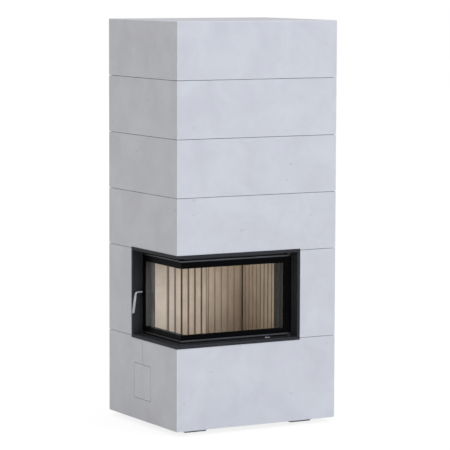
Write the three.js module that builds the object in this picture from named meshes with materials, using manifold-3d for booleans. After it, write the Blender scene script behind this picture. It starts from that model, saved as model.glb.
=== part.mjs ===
// Wood-fired corner stove: a two-sided glazed steel fire insert inside a tower of precast concrete courses.
// Millimetres, +Z up, front facing -Y, +X to the right.
// The origin is the middle of the footprint on the floor. Every piece is drawn in "tower" coordinates,
// measured from the tower's front left bottom corner; one group at the end of the file moves the whole
// tower over the origin and up onto its feet.
import * as THREE from "three";
import { mergeVertices } from "three/addons/utils/BufferGeometryUtils.js";
import Module from "manifold-3d";

// ---------- driving dimensions ----------
// Concrete tower
const towerWidth = 950;
const towerDepth = 768;
const wall = 50;
const baseHeight = 440;
const hearthHeight = 465;
const ringHeight = 300;
const ringCount = 4;
const jointGap = 2; // open joint seen between two courses
const lipHeight = 8; // raised lip along the inner edge, which carries the course above
const lipWidth = 15;
const lipSlack = 1;
const arris = 2; // chamfer on the courses' edges
const rearReturn = 275; // how far the side blocks of the hearth course reach round the back
const slabThickness = 40;
const slabLedge = 20;
const baseFloorThickness = 30;
const shellJointDepth = 8; // how deep the joint between the base's two shells stands open
const footHeight = 25;
const footSide = 125;
const footInsetX = 95;
const footInsetY = 85;
const angleDepth = 20; // lintel angle over the open corner, from the tower's faces
const angleBearing = 60; // how far its ends lie on the blocks
const angleSheet = 5;
const angleHeight = 60;

// Cleaning access in the left wall of the base, centred on the tower's depth
const accessWidth = 188;
const accessHeight = 187;
const accessBottom = 113;
const coverThickness = 30;
const coverGap = 2.2;
const frameBorder = 16; // steel frame round the back of the hole
const frameSheet = 3;
const frameLip = 12; // how far the frame stands into the hole behind the cover

// Steel surround of the corner opening
const surroundWidth = 732; // along the front, from the corner
const surroundDepth = 504; // along the left side, from the corner
const flangeUnder = 9.5; // how far the flange reaches down over the base
const flangeOver = 7; // how far it reaches up over the first ring
const flange = 17;
const sheet = 2.5;
const blockOverlap = 10; // width of concrete hidden behind the flange

// Door leaf
const leafGapSide = 8;
const leafGapTop = 16.5;
const leafGapBottom = 7.5;
const leafThickness = 30;
const railLip = 13; // metal strip that holds the panes at top and bottom
const stileFront = 40;
const stileSide = 22;
const railFloor = 4; // metal under and over the panes
const railBack = 35; // height of the bottom rail behind the pane
const railBackTop = 40.5;
const rebate = 5; // how far the stiles run in behind the panes
const paneThickness = 4;
const lipSheet = 2;
const sealSize = 8;
const sealInset = 6;
const sealSqueezed = 5.4;
const pinRadius = 5;
const pinInset = 7; // hinge axis from the leaf's edge
const pinDepth = 12; // hinge axis from the leaf's front
const pinInLeaf = 25;
const pinRoom = 3; // between the pins and the seal
const bracketWidth = 24;

// Handle
const handleInset = 11; // rod's axis from the leaf's rear edge
const handleRise = 224.5; // over the surround's sill
const handleReach = 46; // from the leaf's face out to the grip's axis
const rodRadius = 5;
const gripRadiusTop = 6.5;
const gripRadiusEnd = 8;
const gripLength = 98;
const rodBend = 12;
const rodShown = 4; // bare rod between the bend and the grip
const rodInGrip = 16;
const rodSteps = 14;
const gripLean = 0.13; // radians, the grip's end leans out
const camThickness = 4;
const camReach = 26;
const camRadius = 9;
const camSetBack = 14; // cam behind the leaf's face
const camSlotRoom = 2; // room round the cam in the leaf
const camPocketRoom = 6; // room round the cam in the jamb
const keeperGap = 1;
const keeperThickness = 5;
const gripRounding = 8; // length of the grip's rounded end
const gripTip = 3; // how much narrower the grip is at its very end

// Insert: door jamb, firebox and lining
const jambLength = 67;
const jambBorder = 15;
const jambUnder = 17.5; // under the surround's sill
const jambRoom = 0.5; // under the lintel angle
const pocketWall = 2; // metal left beside the cam's pocket
const apertureSill = 32.5; // firebox opening over the surround's sill
const apertureHead = 45; // and under its head
const casingSheet = 4;
const casingDrop = 119; // casing under the firebox opening
const casingRise = 80; // and over it
const liningFromRight = 61; // face of the lining's right wall, from the surround's right side
const liningFromRear = 17; // face of the lining's back wall, from the surround's rear side
const liningThickness = 40;
const expansionGap = 2; // behind the lining
const smokeGap = 58; // over the baffle's front edge, a little more than the flue's own area
const floorThickness = 30;
const slabWidth = 75; // plain slab beside the left opening
const brickJointFromCorner = 223;
const ribPitch = 40;
const grooveWidth = 12;
const grooveDepth = 9;
const grooveFloor = 7;
const cornerToGrooveBack = 12;
const cornerToGrooveSide = 28;
const postLength = 20;
const bedInset = 55;
const bedDepth = 8;
const baffleThickness = 25;
const baffleFromJamb = 98;
const baffleRise = 12; // how far its front edge is turned up
const baffleSlope = 90; // depth of the turned-up part
const baffleLeftGap = 60;
const legInset = 45;
const legFootRadius = 32;
const legFootSheet = 4;
const legFlare = 8; // height of the cone between foot and stem
const legStemRadius = 8;
const legNutRadius = 15;
const legNutBottom = 60;
const legNutTop = 72;
const legTubeRadius = 17;
const legTubeBottom = 84;
const legHeadRadius = 30;
const legHeadSheet = 5;
const legSegments = 16;
const gap = 0.3; // clearance between fitted pieces

// Flue, heat store and combustion air
const flueRise = 259; // axis of the flue's outlet over the heat store
const flueRadius = 90;
const pipeSheet = 2;
const collectorWidth = 260; // smoke collector on the heat store
const collectorDepth = 260;
const collectorHeight = 390;
const collectorSheet = 3;
const storeFromJambX = 53;
const storeFromJambY = 23;
const storeFromRight = 50; // inside the casing's right side
const storeFromBack = 16;
const storeHeight = 230;
const storeCount = 2;
const storeBoreRoom = 6;
const hoodSheet = 6;
const collarHeight = 60;
const pipeFlange = 12; // flange where a pipe meets its box
const pipeFlangeSheet = 3;
const sleeveSlack = 1.5; // round a pipe in its wall sleeve
const sleeveSheet = 3;
const sleeveRoom = 1.5; // round a sleeve in the concrete
const sleeveInside = 6; // how far a sleeve stands into the tower
const flueFlange = 30;
const airFlange = 25;
const airFromRight = 184; // axis from the lining's right wall
const airFromBack = 160;
const airRadius = 62.5;
const airBoxWidth = 280;
const airBoxDepth = 260;
const airBoxHeight = 150;
const airPortWidth = 96; // port in the casing's floor, over the shutter
const airPortDepth = 120;
const grateSlots = 6;
const gratePitch = 16;
const grateSlotWidth = 8;
const wallPlate = 2;
const leverFromRight = 162;
const leverWidth = 14;
const leverThickness = 4;
const leverTravel = 40;
const leverOverSill = 4.5; // top of the lever
const shutterWidth = 100;
const shutterDepth = 190;
const shutterLeftOf = 97; // shutter's left edge from the lever's middle
const shutterSheet = 3;
const shutterRoom = 2; // between the shutter and the casing
const shutterInset = 10;
const boxSheet = 2;
const leverSetBack = 10; // upright part of the lever behind the door's face
const leverStandOut = 20; // lever's tip before the door's face
const leverRun = 40; // how far the lever reaches into the air box
const slotRoom = 2;
const knobRadius = 3.5;
const knobLength = 33;
const roundSegments = 32;
const knobSegments = 12;
const pipeSegments = 16;

// ---------- derived sizes ----------
const hearthBase = baseHeight;
const ringBase = baseHeight + hearthHeight;
const towerHeight = ringBase + ringCount * ringHeight;
const cavityRight = towerWidth - wall;
const cavityBack = towerDepth - wall;
const reveal = wall; // the door sits behind the concrete's full thickness
const surroundBottom = baseHeight - flangeUnder;
const surroundTop = ringBase + flangeOver;
const windowRight = surroundWidth - flange;
const windowRear = surroundDepth - flange;
const windowBottom = surroundBottom + flange;
const windowTop = surroundTop - flange;
const blockRight = surroundWidth - blockOverlap;
const blockRear = surroundDepth - blockOverlap;
const leafRight = windowRight - leafGapSide;
const leafRear = windowRear - leafGapSide;
const leafBottom = windowBottom + leafGapBottom;
const leafTop = windowTop - leafGapTop;
const leafBack = reveal + leafThickness;
const sealBack = leafBack + gap + sealSqueezed;
const jambStep = sealBack + gap;
const jambDepth = reveal + jambLength;
const jambBottom = windowBottom - jambUnder;
const angleUnder = ringBase + jointGap / 2 - angleSheet;
const jambTop = angleUnder - jambRoom;
const apertureBottom = windowBottom + apertureSill;
const apertureTop = windowTop - apertureHead;
const handleY = leafRear - handleInset;
const handleZ = windowBottom + handleRise;
const leverX = windowRight - leverFromRight;
const leverRise = windowBottom + leverOverSill;
const hingeX = leafRight - pinInset;
const hingeY = reveal + pinDepth;
const casingBottom = apertureBottom - casingDrop;
const casingTop = apertureTop + casingRise;
const liningRight = windowRight - liningFromRight;
const liningBack = windowRear - liningFromRear;
const brickJointAt = liningRight - brickJointFromCorner;
const baffleFront = jambDepth + baffleFromJamb;
const casingFront = jambDepth + gap;
const casingRight = liningRight + liningThickness + casingSheet + expansionGap;
const casingBack = liningBack + liningThickness + casingSheet + expansionGap;
const floorTop = casingBottom + casingSheet + floorThickness;
const liningTop = casingTop - smokeGap - baffleThickness - baffleRise;
const storeBase = casingTop + hoodSheet;
const storeLeft = jambDepth + storeFromJambX;
const storeFront = jambDepth + storeFromJambY;
const storeWidth = casingRight - storeFromRight - storeLeft;
const storeDepth = casingBack - storeFromBack - storeFront;
const flueX = storeLeft + storeWidth / 2;
const flueY = storeFront + storeDepth / 2;
const storeTop = storeBase + storeCount * storeHeight;
const flueZ = storeTop + flueRise;
const airBoxBottom = casingBottom - airBoxHeight;
const airX = liningRight - airFromRight;
const airY = liningBack - airFromBack;
const airZ = airBoxBottom + airBoxHeight / 2;
const accessFront = (towerDepth - accessWidth) / 2;
const accessTop = accessBottom + accessHeight;
const beyond = 5; // how far a cutting tool runs past what it cuts
const bite = 1; // how far two cuts in one piece run into each other

// ---------- materials ----------
function finish(color, roughness, metalness) {
  return new THREE.MeshStandardMaterial({ color, roughness, metalness });
}
const concrete = finish(0xcdd0d8, 0.85, 0);
const blackSteel = finish(0x26282a, 0.5, 0.4);
const doorSteel = finish(0x121315, 0.45, 0.4);
const greySteel = finish(0x44474b, 0.55, 0.5);
const rawSteel = finish(0x8b8f94, 0.4, 0.8);
const stainless = finish(0xc9ccd0, 0.25, 1);
const castIron = finish(0x2e2f31, 0.7, 0.5);
const fireclay = finish(0xbfae9c, 0.9, 0);
const storeStone = finish(0x9c938a, 0.9, 0);
const ropeSeal = finish(0x1b1b1b, 0.95, 0);
const footPad = finish(0x80868c, 0.7, 0.1);
const pane = new THREE.MeshStandardMaterial({
  color: 0x20242a,
  roughness: 0.05,
  metalness: 0,
  transparent: true,
  opacity: 0.3,
});

// ---------- solids ----------
const wasm = await Module();
wasm.setup();

function solidFrom(geometry) {
  const bare = geometry.clone();
  bare.deleteAttribute("normal");
  bare.deleteAttribute("uv");
  const merged = mergeVertices(bare, 1e-3);
  return new wasm.Manifold(
    new wasm.Mesh({
      numProp: 3,
      vertProperties: merged.attributes.position.array,
      triVerts: new Uint32Array(merged.index.array),
    }),
  );
}

function geometryFrom(solid) {
  const mesh = solid.getMesh();
  const geometry = new THREE.BufferGeometry();
  geometry.setAttribute("position", new THREE.BufferAttribute(mesh.vertProperties, 3));
  geometry.setIndex(new THREE.BufferAttribute(mesh.triVerts, 1));
  geometry.computeVertexNormals();
  return geometry;
}

function join(...solids) {
  return solids.reduce((whole, next) => whole.add(next));
}

function cut(body, ...tools) {
  return tools.reduce((whole, tool) => whole.subtract(tool), body);
}

function block(x0, x1, y0, y1, z0, z1) {
  const geometry = new THREE.BoxGeometry(x1 - x0, y1 - y0, z1 - z0);
  geometry.translate((x0 + x1) / 2, (y0 + y1) / 2, (z0 + z1) / 2);
  return solidFrom(geometry);
}

function outline(points) {
  return new THREE.Shape(points.map(([x, y]) => new THREE.Vector2(x, y)));
}

// A plan outline raised from z0 to z1, with an optional chamfer along its top and bottom edges.
function prism(shape, z0, z1, chamfer = 0) {
  const geometry = new THREE.ExtrudeGeometry(shape, {
    depth: z1 - z0 - 2 * chamfer,
    bevelEnabled: chamfer > 0,
    bevelThickness: chamfer,
    bevelSize: chamfer,
    bevelOffset: -chamfer,
    bevelSegments: 1,
    curveSegments: roundSegments / 4,
  });
  geometry.translate(0, 0, z0 + chamfer);
  return solidFrom(geometry);
}

// A side profile, drawn as (y, z), drawn out along X from x0 to x1.
function profileAlongX(shape, x0, x1) {
  const geometry = new THREE.ExtrudeGeometry(shape, {
    depth: x1 - x0,
    bevelEnabled: false,
    curveSegments: roundSegments / 4,
  });
  geometry.rotateX(Math.PI / 2);
  geometry.rotateZ(Math.PI / 2);
  geometry.translate(x0, 0, 0);
  return solidFrom(geometry);
}

// A (radius, height) profile turned about an axis that starts at "at" and points along "axis".
function turned(profile, at, axis = [0, 0, 1], segments = roundSegments) {
  const points = profile.map(([r, h]) => new THREE.Vector2(r, h));
  const geometry = new THREE.LatheGeometry(points, segments);
  const turn = new THREE.Quaternion();
  turn.setFromUnitVectors(new THREE.Vector3(0, 1, 0), new THREE.Vector3(...axis));
  geometry.applyQuaternion(turn);
  geometry.translate(...at);
  return solidFrom(geometry);
}

function rod(radius, length, at, axis, segments) {
  return turned([[0, 0], [radius, 0], [radius, length], [0, length]], at, axis, segments);
}

function tube(inner, outer, length, at, axis, segments) {
  const profile = [[inner, 0], [outer, 0], [outer, length], [inner, length], [inner, 0]];
  return turned(profile, at, axis, segments);
}

function ringShape(outer, inner) {
  const shape = new THREE.Shape();
  shape.absarc(0, 0, outer, 0, 2 * Math.PI, false);
  if (inner > 0) {
    const hole = new THREE.Path();
    hole.absarc(0, 0, inner, 0, 2 * Math.PI, true);
    shape.holes.push(hole);
  }
  return shape;
}

// A round bar or pipe swept along a path.
function swept(shape, path, steps, segments) {
  const geometry = new THREE.ExtrudeGeometry(shape, {
    extrudePath: path,
    steps,
    bevelEnabled: false,
    curveSegments: segments,
  });
  return solidFrom(geometry);
}

// The L-shaped strip that follows the open corner, between two depths behind the tower's outer faces.
function cornerStrip(depth0, depth1, right, rear, z0, z1) {
  const plan = outline([
    [depth0, depth0],
    [right, depth0],
    [right, depth1],
    [depth1, depth1],
    [depth1, rear],
    [depth0, rear],
  ]);
  return prism(plan, z0, z1);
}

const stove = new THREE.Group();

function place(name, solid, material, group = stove) {
  const mesh = new THREE.Mesh(geometryFrom(solid), material);
  mesh.name = name;
  group.add(mesh);
  return mesh;
}

// ---------- concrete tower ----------
// The strip along the walls' inner edge where one course locks onto the next.
function lipStrip(slack, z0, z1) {
  const outer = wall - lipWidth - slack;
  const strip = block(outer, towerWidth - outer, outer, towerDepth - outer, z0, z1);
  const inner = slack > 0 ? wall + beyond : wall;
  return cut(
    strip,
    block(inner, towerWidth - inner, inner, towerDepth - inner, z0 - beyond, z1 + beyond),
  );
}

// One precast block: its plan raised through the course, with a lip on top and a matching recess below.
// The lip stands only where the block above covers it.
function course(plan, z0, z1, { lipUnder = plan, recess = true, lip = true } = {}) {
  const low = recess ? z0 + jointGap / 2 : z0;
  const high = lip ? z1 - jointGap / 2 : z1;
  let body = prism(plan, low, high, arris);
  if (lip) {
    const seat = high - 2 * arris;
    const top = z1 + lipHeight;
    const own = prism(plan, seat, top).intersect(prism(lipUnder, seat, top));
    body = join(body, lipStrip(0, seat, top).intersect(own));
  }
  return recess ? cut(body, lipStrip(lipSlack, z0 - beyond, z0 + lipHeight)) : body;
}

// A slab's bed: the rebate in the walls' inner edge, and the slab that lies in it
const ledge = wall - slabLedge;
const slabEdge = ledge + jointGap / 2;
const slabPlan = outline([
  [slabEdge, slabEdge],
  [towerWidth - slabEdge, slabEdge],
  [towerWidth - slabEdge, towerDepth - slabEdge],
  [slabEdge, towerDepth - slabEdge],
]);
function slabBed(z0, z1) {
  return block(ledge, towerWidth - ledge, ledge, towerDepth - ledge, z0, z1);
}

// A U in plan, open towards the back or the front, between two depths.
function uPlan(y0, y1, openAtBack) {
  const web = openAtBack ? y0 + wall : y1 - wall;
  const closed = openAtBack ? y0 : y1;
  const open = openAtBack ? y1 : y0;
  const points = [
    [0, closed],
    [towerWidth, closed],
    [towerWidth, open],
    [cavityRight, open],
    [cavityRight, web],
    [wall, web],
    [wall, open],
    [0, open],
  ];
  return outline(openAtBack ? points : points.reverse());
}

// Plans of the hearth course, which leaves the front left corner open.
const halfJoint = gap / 2;
const hearthRightPlan = outline([
  [blockRight, 0],
  [towerWidth, 0],
  [towerWidth, towerDepth],
  [towerWidth - rearReturn, towerDepth],
  [towerWidth - rearReturn, cavityBack],
  [cavityRight, cavityBack],
  [cavityRight, wall],
  [blockRight, wall],
]);
const hearthLeftPlan = outline([
  [0, blockRear],
  [wall, blockRear],
  [wall, cavityBack],
  [rearReturn, cavityBack],
  [rearReturn, towerDepth],
  [0, towerDepth],
]);
const hearthBackPlan = outline([
  [rearReturn + gap, cavityBack],
  [towerWidth - rearReturn - gap, cavityBack],
  [towerWidth - rearReturn - gap, towerDepth],
  [rearReturn + gap, towerDepth],
]);
const coveredByHearth = outline([
  [blockRight, 0],
  [towerWidth, 0],
  [towerWidth, towerDepth],
  [0, towerDepth],
  [0, blockRear],
  [wall + beyond, blockRear],
  [wall + beyond, cavityBack - beyond],
  [cavityRight - beyond, cavityBack - beyond],
  [cavityRight - beyond, wall + beyond],
  [blockRight, wall + beyond],
]);

const accessHole = block(
  -beyond,
  wall + beyond,
  accessFront,
  accessFront + accessWidth,
  accessBottom,
  accessTop,
);
const middle = towerDepth / 2;
const baseOptions = { lipUnder: coveredByHearth, recess: false };
// The hole through the rear wall for a pipe's sleeve
function sleeveHole(x, z, radius) {
  const room = sleeveSlack + sleeveSheet + sleeveRoom;
  return rod(radius + room, wall + 2 * beyond, [x, cavityBack - beyond, z], [0, 1, 0]);
}
const airHole = sleeveHole(airX, airZ, airRadius);
// The base's two shells meet in an open joint: over the access cover on the left, full height on the right.
function shellJoint(x0, x1, z0) {
  const half = jointGap / 2;
  return block(x0, x1, middle - half, middle + half, z0, baseHeight + lipHeight + beyond);
}
const leftJoint = shellJoint(-beyond, shellJointDepth, accessTop - bite);
const rightJoint = shellJoint(towerWidth - shellJointDepth, towerWidth + beyond, -beyond);
// The base stands on its own floor slab, which carries the insert's legs too.
const floorBed = slabBed(-beyond, baseFloorThickness);
place("base_floor", prism(slabPlan, 0, baseFloorThickness, arris), concrete);
place(
  "base_front_shell",
  cut(
    course(uPlan(0, middle - halfJoint, true), 0, baseHeight, baseOptions),
    accessHole,
    leftJoint,
    rightJoint,
    floorBed,
  ),
  concrete,
);
place(
  "base_rear_shell",
  cut(
    course(uPlan(middle + halfJoint, towerDepth, false), 0, baseHeight, baseOptions),
    accessHole,
    leftJoint,
    rightJoint,
    airHole,
    floorBed,
  ),
  concrete,
);

// The open corner is bridged by an angle whose ends lie in rebates in the blocks on either side.
const angleRight = blockRight + angleBearing;
const angleRear = blockRear + angleBearing;
const legEnd = wall + gap + angleSheet;
const lintel = join(
  cornerStrip(angleDepth, legEnd, angleRight, angleRear, angleUnder, angleUnder + angleSheet),
  cornerStrip(wall + gap, legEnd, angleRight, angleRear, angleUnder, angleUnder + angleHeight),
);
const lintelRoom = cornerStrip(
  angleDepth - lipSlack,
  wall + beyond,
  angleRight + lipSlack,
  angleRear + lipSlack,
  angleUnder,
  ringBase + lipHeight + beyond,
);
place("lintel_angle", lintel, rawSteel);

place(
  "hearth_right_block",
  cut(course(hearthRightPlan, hearthBase, ringBase), lintelRoom),
  concrete,
);
place(
  "hearth_left_block",
  cut(course(hearthLeftPlan, hearthBase, ringBase), lintelRoom),
  concrete,
);
place("hearth_back_panel", course(hearthBackPlan, hearthBase, ringBase), concrete);

// Four rings close the tower. Each is a U with a back panel between its wings.
const backPlan = outline([
  [wall + gap, cavityBack],
  [cavityRight - gap, cavityBack],
  [cavityRight - gap, towerDepth],
  [wall + gap, towerDepth],
]);
const topBed = slabBed(towerHeight - slabThickness, towerHeight + beyond);
const flueHole = sleeveHole(flueX, flueZ, flueRadius);
for (let ring = 1; ring <= ringCount; ring++) {
  const low = ringBase + (ring - 1) * ringHeight;
  const high = low + ringHeight;
  const last = ring === ringCount;
  const tools = last ? [topBed] : [];
  const shell = course(uPlan(0, towerDepth, true), low, high, { lip: !last });
  const back = course(backPlan, low, high, { lip: !last });
  place(`ring_${ring}_shell`, cut(shell, ...tools), concrete);
  place(`ring_${ring}_back`, cut(back, ...tools, flueHole), concrete);
}
place("top_slab", prism(slabPlan, towerHeight - slabThickness, towerHeight, arris), concrete);

// Feet under the four corners
const footPlan = outline([
  [0, 0],
  [footSide, 0],
  [footSide, footSide],
  [0, footSide],
]);
const footPlaces = {
  foot_front_left: [footInsetX, footInsetY],
  foot_front_right: [towerWidth - footInsetX - footSide, footInsetY],
  foot_rear_left: [footInsetX, towerDepth - footInsetY - footSide],
  foot_rear_right: [towerWidth - footInsetX - footSide, towerDepth - footInsetY - footSide],
};
for (const [name, [x, y]] of Object.entries(footPlaces)) {
  const foot = place(name, prism(footPlan, 0, footHeight, arris), footPad);
  foot.position.set(x, y, -footHeight);
}

// Access cover, flush with the concrete, set against a steel frame behind the hole
const frameIn = coverThickness + gap;
place(
  "access_frame",
  cut(
    join(
      block(
        wall,
        wall + frameSheet,
        accessFront - frameBorder,
        accessFront + accessWidth + frameBorder,
        accessBottom - frameBorder,
        accessTop + frameBorder,
      ),
      block(
        frameIn,
        wall + frameSheet,
        accessFront + gap,
        accessFront + accessWidth - gap,
        accessBottom + gap,
        accessTop - gap,
      ),
    ),
    block(
      frameIn - beyond,
      wall + frameSheet + beyond,
      accessFront + frameLip,
      accessFront + accessWidth - frameLip,
      accessBottom + frameLip,
      accessTop - frameLip,
    ),
  ),
  rawSteel,
);
const coverPlan = outline([
  [accessFront + coverGap, accessBottom + coverGap],
  [accessFront + accessWidth - coverGap, accessBottom + coverGap],
  [accessFront + accessWidth - coverGap, accessTop - coverGap],
  [accessFront + coverGap, accessTop - coverGap],
]);
place("access_cover", profileAlongX(coverPlan, 0, coverThickness), concrete);

// ---------- steel surround and door jamb ----------
const opening = cornerStrip(
  -sheet - beyond,
  reveal + beyond,
  windowRight,
  windowRear,
  windowBottom,
  windowTop,
);
place(
  "surround_frame",
  cut(
    join(
      cornerStrip(-sheet, 0, surroundWidth, surroundDepth, surroundBottom, surroundTop),
      cornerStrip(
        -sheet,
        reveal,
        windowRight + sheet,
        windowRear + sheet,
        windowBottom - sheet,
        windowTop + sheet,
      ),
    ),
    opening,
  ),
  blackSteel,
);

// Hinge brackets stand out of the jamb's step over and under the leaf.
function bracket(name, z0, z1) {
  const half = bracketWidth / 2;
  const shape = new THREE.Shape();
  shape.moveTo(hingeX - half, jambStep);
  shape.lineTo(hingeX - half, hingeY);
  shape.absarc(hingeX, hingeY, half, Math.PI, 2 * Math.PI, false);
  shape.lineTo(hingeX + half, jambStep);
  shape.closePath();
  const bore = new THREE.Path();
  bore.absarc(hingeX, hingeY, pinRadius + gap, 0, 2 * Math.PI, true);
  shape.holes.push(bore);
  place(name, prism(shape, z0, z1), greySteel);
}
bracket("hinge_bracket_lower", windowBottom, leafBottom - gap);
bracket("hinge_bracket_upper", leafTop + gap, windowTop);

// The cam's pocket and the lever's slots in the jamb
const camX = reveal + camSetBack;
const pocketDepth = jambBorder - pocketWall;
const camPocket = block(
  reveal - beyond,
  camX + camThickness + camPocketRoom,
  windowRear - beyond,
  windowRear + pocketDepth,
  handleZ - camReach - camRadius,
  handleZ + camRadius + camPocketRoom,
);
const slotHalf = leverTravel + leverWidth / 2 + slotRoom;
const leverBack = reveal + leverSetBack;
const leverSlot = block(
  leverX - slotHalf,
  leverX + slotHalf,
  leverBack - slotRoom,
  leverBack + leverThickness + slotRoom,
  jambBottom - beyond,
  windowBottom + beyond,
);
place(
  "door_jamb",
  cut(
    cornerStrip(
      reveal,
      jambDepth,
      windowRight + jambBorder,
      windowRear + jambBorder,
      jambBottom,
      jambTop,
    ),
    cornerStrip(reveal - beyond, jambStep, windowRight, windowRear, windowBottom, windowTop),
    cornerStrip(
      jambStep - beyond,
      jambDepth + beyond,
      liningRight,
      liningBack,
      apertureBottom,
      apertureTop,
    ),
    camPocket,
    leverSlot,
  ),
  greySteel,
);
const keeperX = camX + camThickness + keeperGap;
place(
  "latch_keeper",
  block(
    keeperX,
    keeperX + keeperThickness,
    windowRear + keeperGap,
    windowRear + pocketDepth,
    handleZ - camRadius,
    handleZ + camRadius,
  ),
  rawSteel,
);

// ---------- firebox ----------
const inner = casingFront + casingSheet;
const flueBore = flueRadius - pipeSheet;
const airBore = airRadius - pipeSheet;
const airPort = block(
  airX - airPortWidth / 2,
  airX + airPortWidth / 2,
  airY - airPortDepth / 2,
  airY + airPortDepth / 2,
  casingBottom - beyond,
  casingBottom + casingSheet + beyond,
);
// The casing is open at the top, where the hood closes it.
place(
  "firebox_casing",
  cut(
    block(casingFront, casingRight, casingFront, casingBack, casingBottom, casingTop),
    block(
      inner,
      casingRight - casingSheet,
      inner,
      casingBack - casingSheet,
      casingBottom + casingSheet,
      casingTop + beyond,
    ),
    cornerStrip(
      casingFront - beyond,
      inner + beyond,
      liningRight,
      liningBack,
      apertureBottom,
      apertureTop,
    ),
    airPort,
  ),
  blackSteel,
);

// Firebricks stand on the hearth floor, face forwards; "u" runs along a brick and "v" into it.
function brickShape(length, grooves) {
  const points = [[0, 0]];
  for (const centre of grooves) {
    points.push(
      [centre - grooveWidth / 2, 0],
      [centre - grooveFloor / 2, grooveDepth],
      [centre + grooveFloor / 2, grooveDepth],
      [centre + grooveWidth / 2, 0],
    );
  }
  points.push([length, 0], [length, liningThickness], [0, liningThickness]);
  return outline(points);
}

function groovesBetween(start, end, first) {
  const centres = [];
  for (let at = first; at < end - grooveWidth; at += ribPitch) {
    if (at > start + grooveWidth / 2) centres.push(at - start);
  }
  return centres;
}

const brickHeight = liningTop - floorTop;
const liningStart = inner + gap;
const liningEndX = liningRight + liningThickness;
const liningEndY = liningBack + liningThickness;
const slabEnd = liningStart + slabWidth;
// Grooves are counted from the corner, so the first one left of the corner sets them all.
const backFirst = liningRight - cornerToGrooveBack - ribPitch * Math.floor(
  (liningRight - cornerToGrooveBack - slabEnd) / ribPitch,
);

function backBrick(name, start, end, grooves) {
  const brick = place(name, prism(brickShape(end - start, grooves), 0, brickHeight), fireclay);
  brick.position.set(start, liningBack, floorTop);
}
backBrick("lining_back_plain", liningStart, slabEnd, []);
backBrick(
  "lining_back_left",
  slabEnd + gap,
  brickJointAt,
  groovesBetween(slabEnd + gap, brickJointAt, backFirst),
);
backBrick(
  "lining_back_right",
  brickJointAt + gap,
  liningEndX,
  groovesBetween(brickJointAt + gap, liningRight + gap, backFirst),
);

// The right wall's bricks turn the same profile through a quarter turn; u now runs towards the front.
const sideWall = new THREE.Group();
sideWall.position.set(liningRight, liningBack - gap, floorTop);
sideWall.rotation.z = -Math.PI / 2;
stove.add(sideWall);
const sideStart = jambDepth + postLength;
const sideLength = liningBack - gap - sideStart;
const sideJoint = sideLength / 2 + grooveWidth;
function sideBrick(name, start, end) {
  const grooves = groovesBetween(start, end, cornerToGrooveSide);
  const brick = place(
    name,
    prism(brickShape(end - start, grooves), 0, brickHeight),
    fireclay,
    sideWall,
  );
  brick.position.set(start, 0, 0);
}
sideBrick("lining_right_rear", 0, sideJoint);
sideBrick("lining_right_front", sideJoint + gap, sideLength);
place(
  "lining_post",
  block(
    liningRight,
    casingRight - casingSheet - gap,
    inner + gap,
    sideStart - gap,
    floorTop,
    liningTop,
  ),
  greySteel,
);

// Hearth floor with a shallow fire bed, slotted over the air port
const floorPlan = outline([
  [liningStart, liningStart],
  [liningEndX, liningStart],
  [liningEndX, liningEndY],
  [liningStart, liningEndY],
]);
const bedPlan = outline([
  [liningStart + bedInset, liningStart + bedInset],
  [liningRight - bedInset, liningStart + bedInset],
  [liningRight - bedInset, liningBack - bedInset],
  [liningStart + bedInset, liningBack - bedInset],
]);
const slots = [];
for (let slot = 0; slot < grateSlots; slot++) {
  const x = airX + (slot - (grateSlots - 1) / 2) * gratePitch;
  slots.push(
    block(
      x - grateSlotWidth / 2,
      x + grateSlotWidth / 2,
      airY - airPortDepth / 2,
      airY + airPortDepth / 2,
      floorTop - floorThickness - beyond,
      floorTop + beyond,
    ),
  );
}
place(
  "hearth_floor",
  cut(
    prism(floorPlan, floorTop - floorThickness, floorTop),
    prism(bedPlan, floorTop - bedDepth, floorTop + bedDepth, bedDepth),
    ...slots,
  ),
  fireclay,
);

// The baffle rests on the lining and turns the smoke round its front edge.
place(
  "baffle_plate",
  profileAlongX(
    outline([
      [baffleFront, liningTop + baffleRise],
      [baffleFront + baffleSlope, liningTop],
      [liningEndY, liningTop],
      [liningEndY, liningTop + baffleThickness],
      [baffleFront + baffleSlope, liningTop + baffleThickness],
      [baffleFront, liningTop + baffleRise + baffleThickness],
    ]),
    liningStart + baffleLeftGap,
    liningEndX,
  ),
  fireclay,
);

// Adjustable legs carry the insert on the base's floor slab, free of the walls.
const legPlaces = {
  leg_front_left: [casingFront + legInset, casingFront + legInset],
  leg_front_right: [casingRight - legInset, casingFront + legInset],
  leg_rear_left: [casingFront + legInset, casingBack - legInset],
  leg_rear_right: [casingRight - legInset, casingBack - legInset],
};
const legHeight = casingBottom - baseFloorThickness;
const legProfile = [
  [0, 0],
  [legFootRadius, 0],
  [legFootRadius, legFootSheet],
  [legStemRadius, legFootSheet + legFlare],
  [legStemRadius, legNutBottom],
  [legNutRadius, legNutBottom],
  [legNutRadius, legNutTop],
  [legStemRadius, legNutTop],
  [legStemRadius, legTubeBottom],
  [legTubeRadius, legTubeBottom],
  [legTubeRadius, legHeight - legHeadSheet],
  [legHeadRadius, legHeight - legHeadSheet],
  [legHeadRadius, legHeight],
  [0, legHeight],
];
for (const [name, [x, y]] of Object.entries(legPlaces)) {
  place(name, turned(legProfile, [x, y, baseFloorThickness], [0, 0, 1], legSegments), rawSteel);
}

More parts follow.
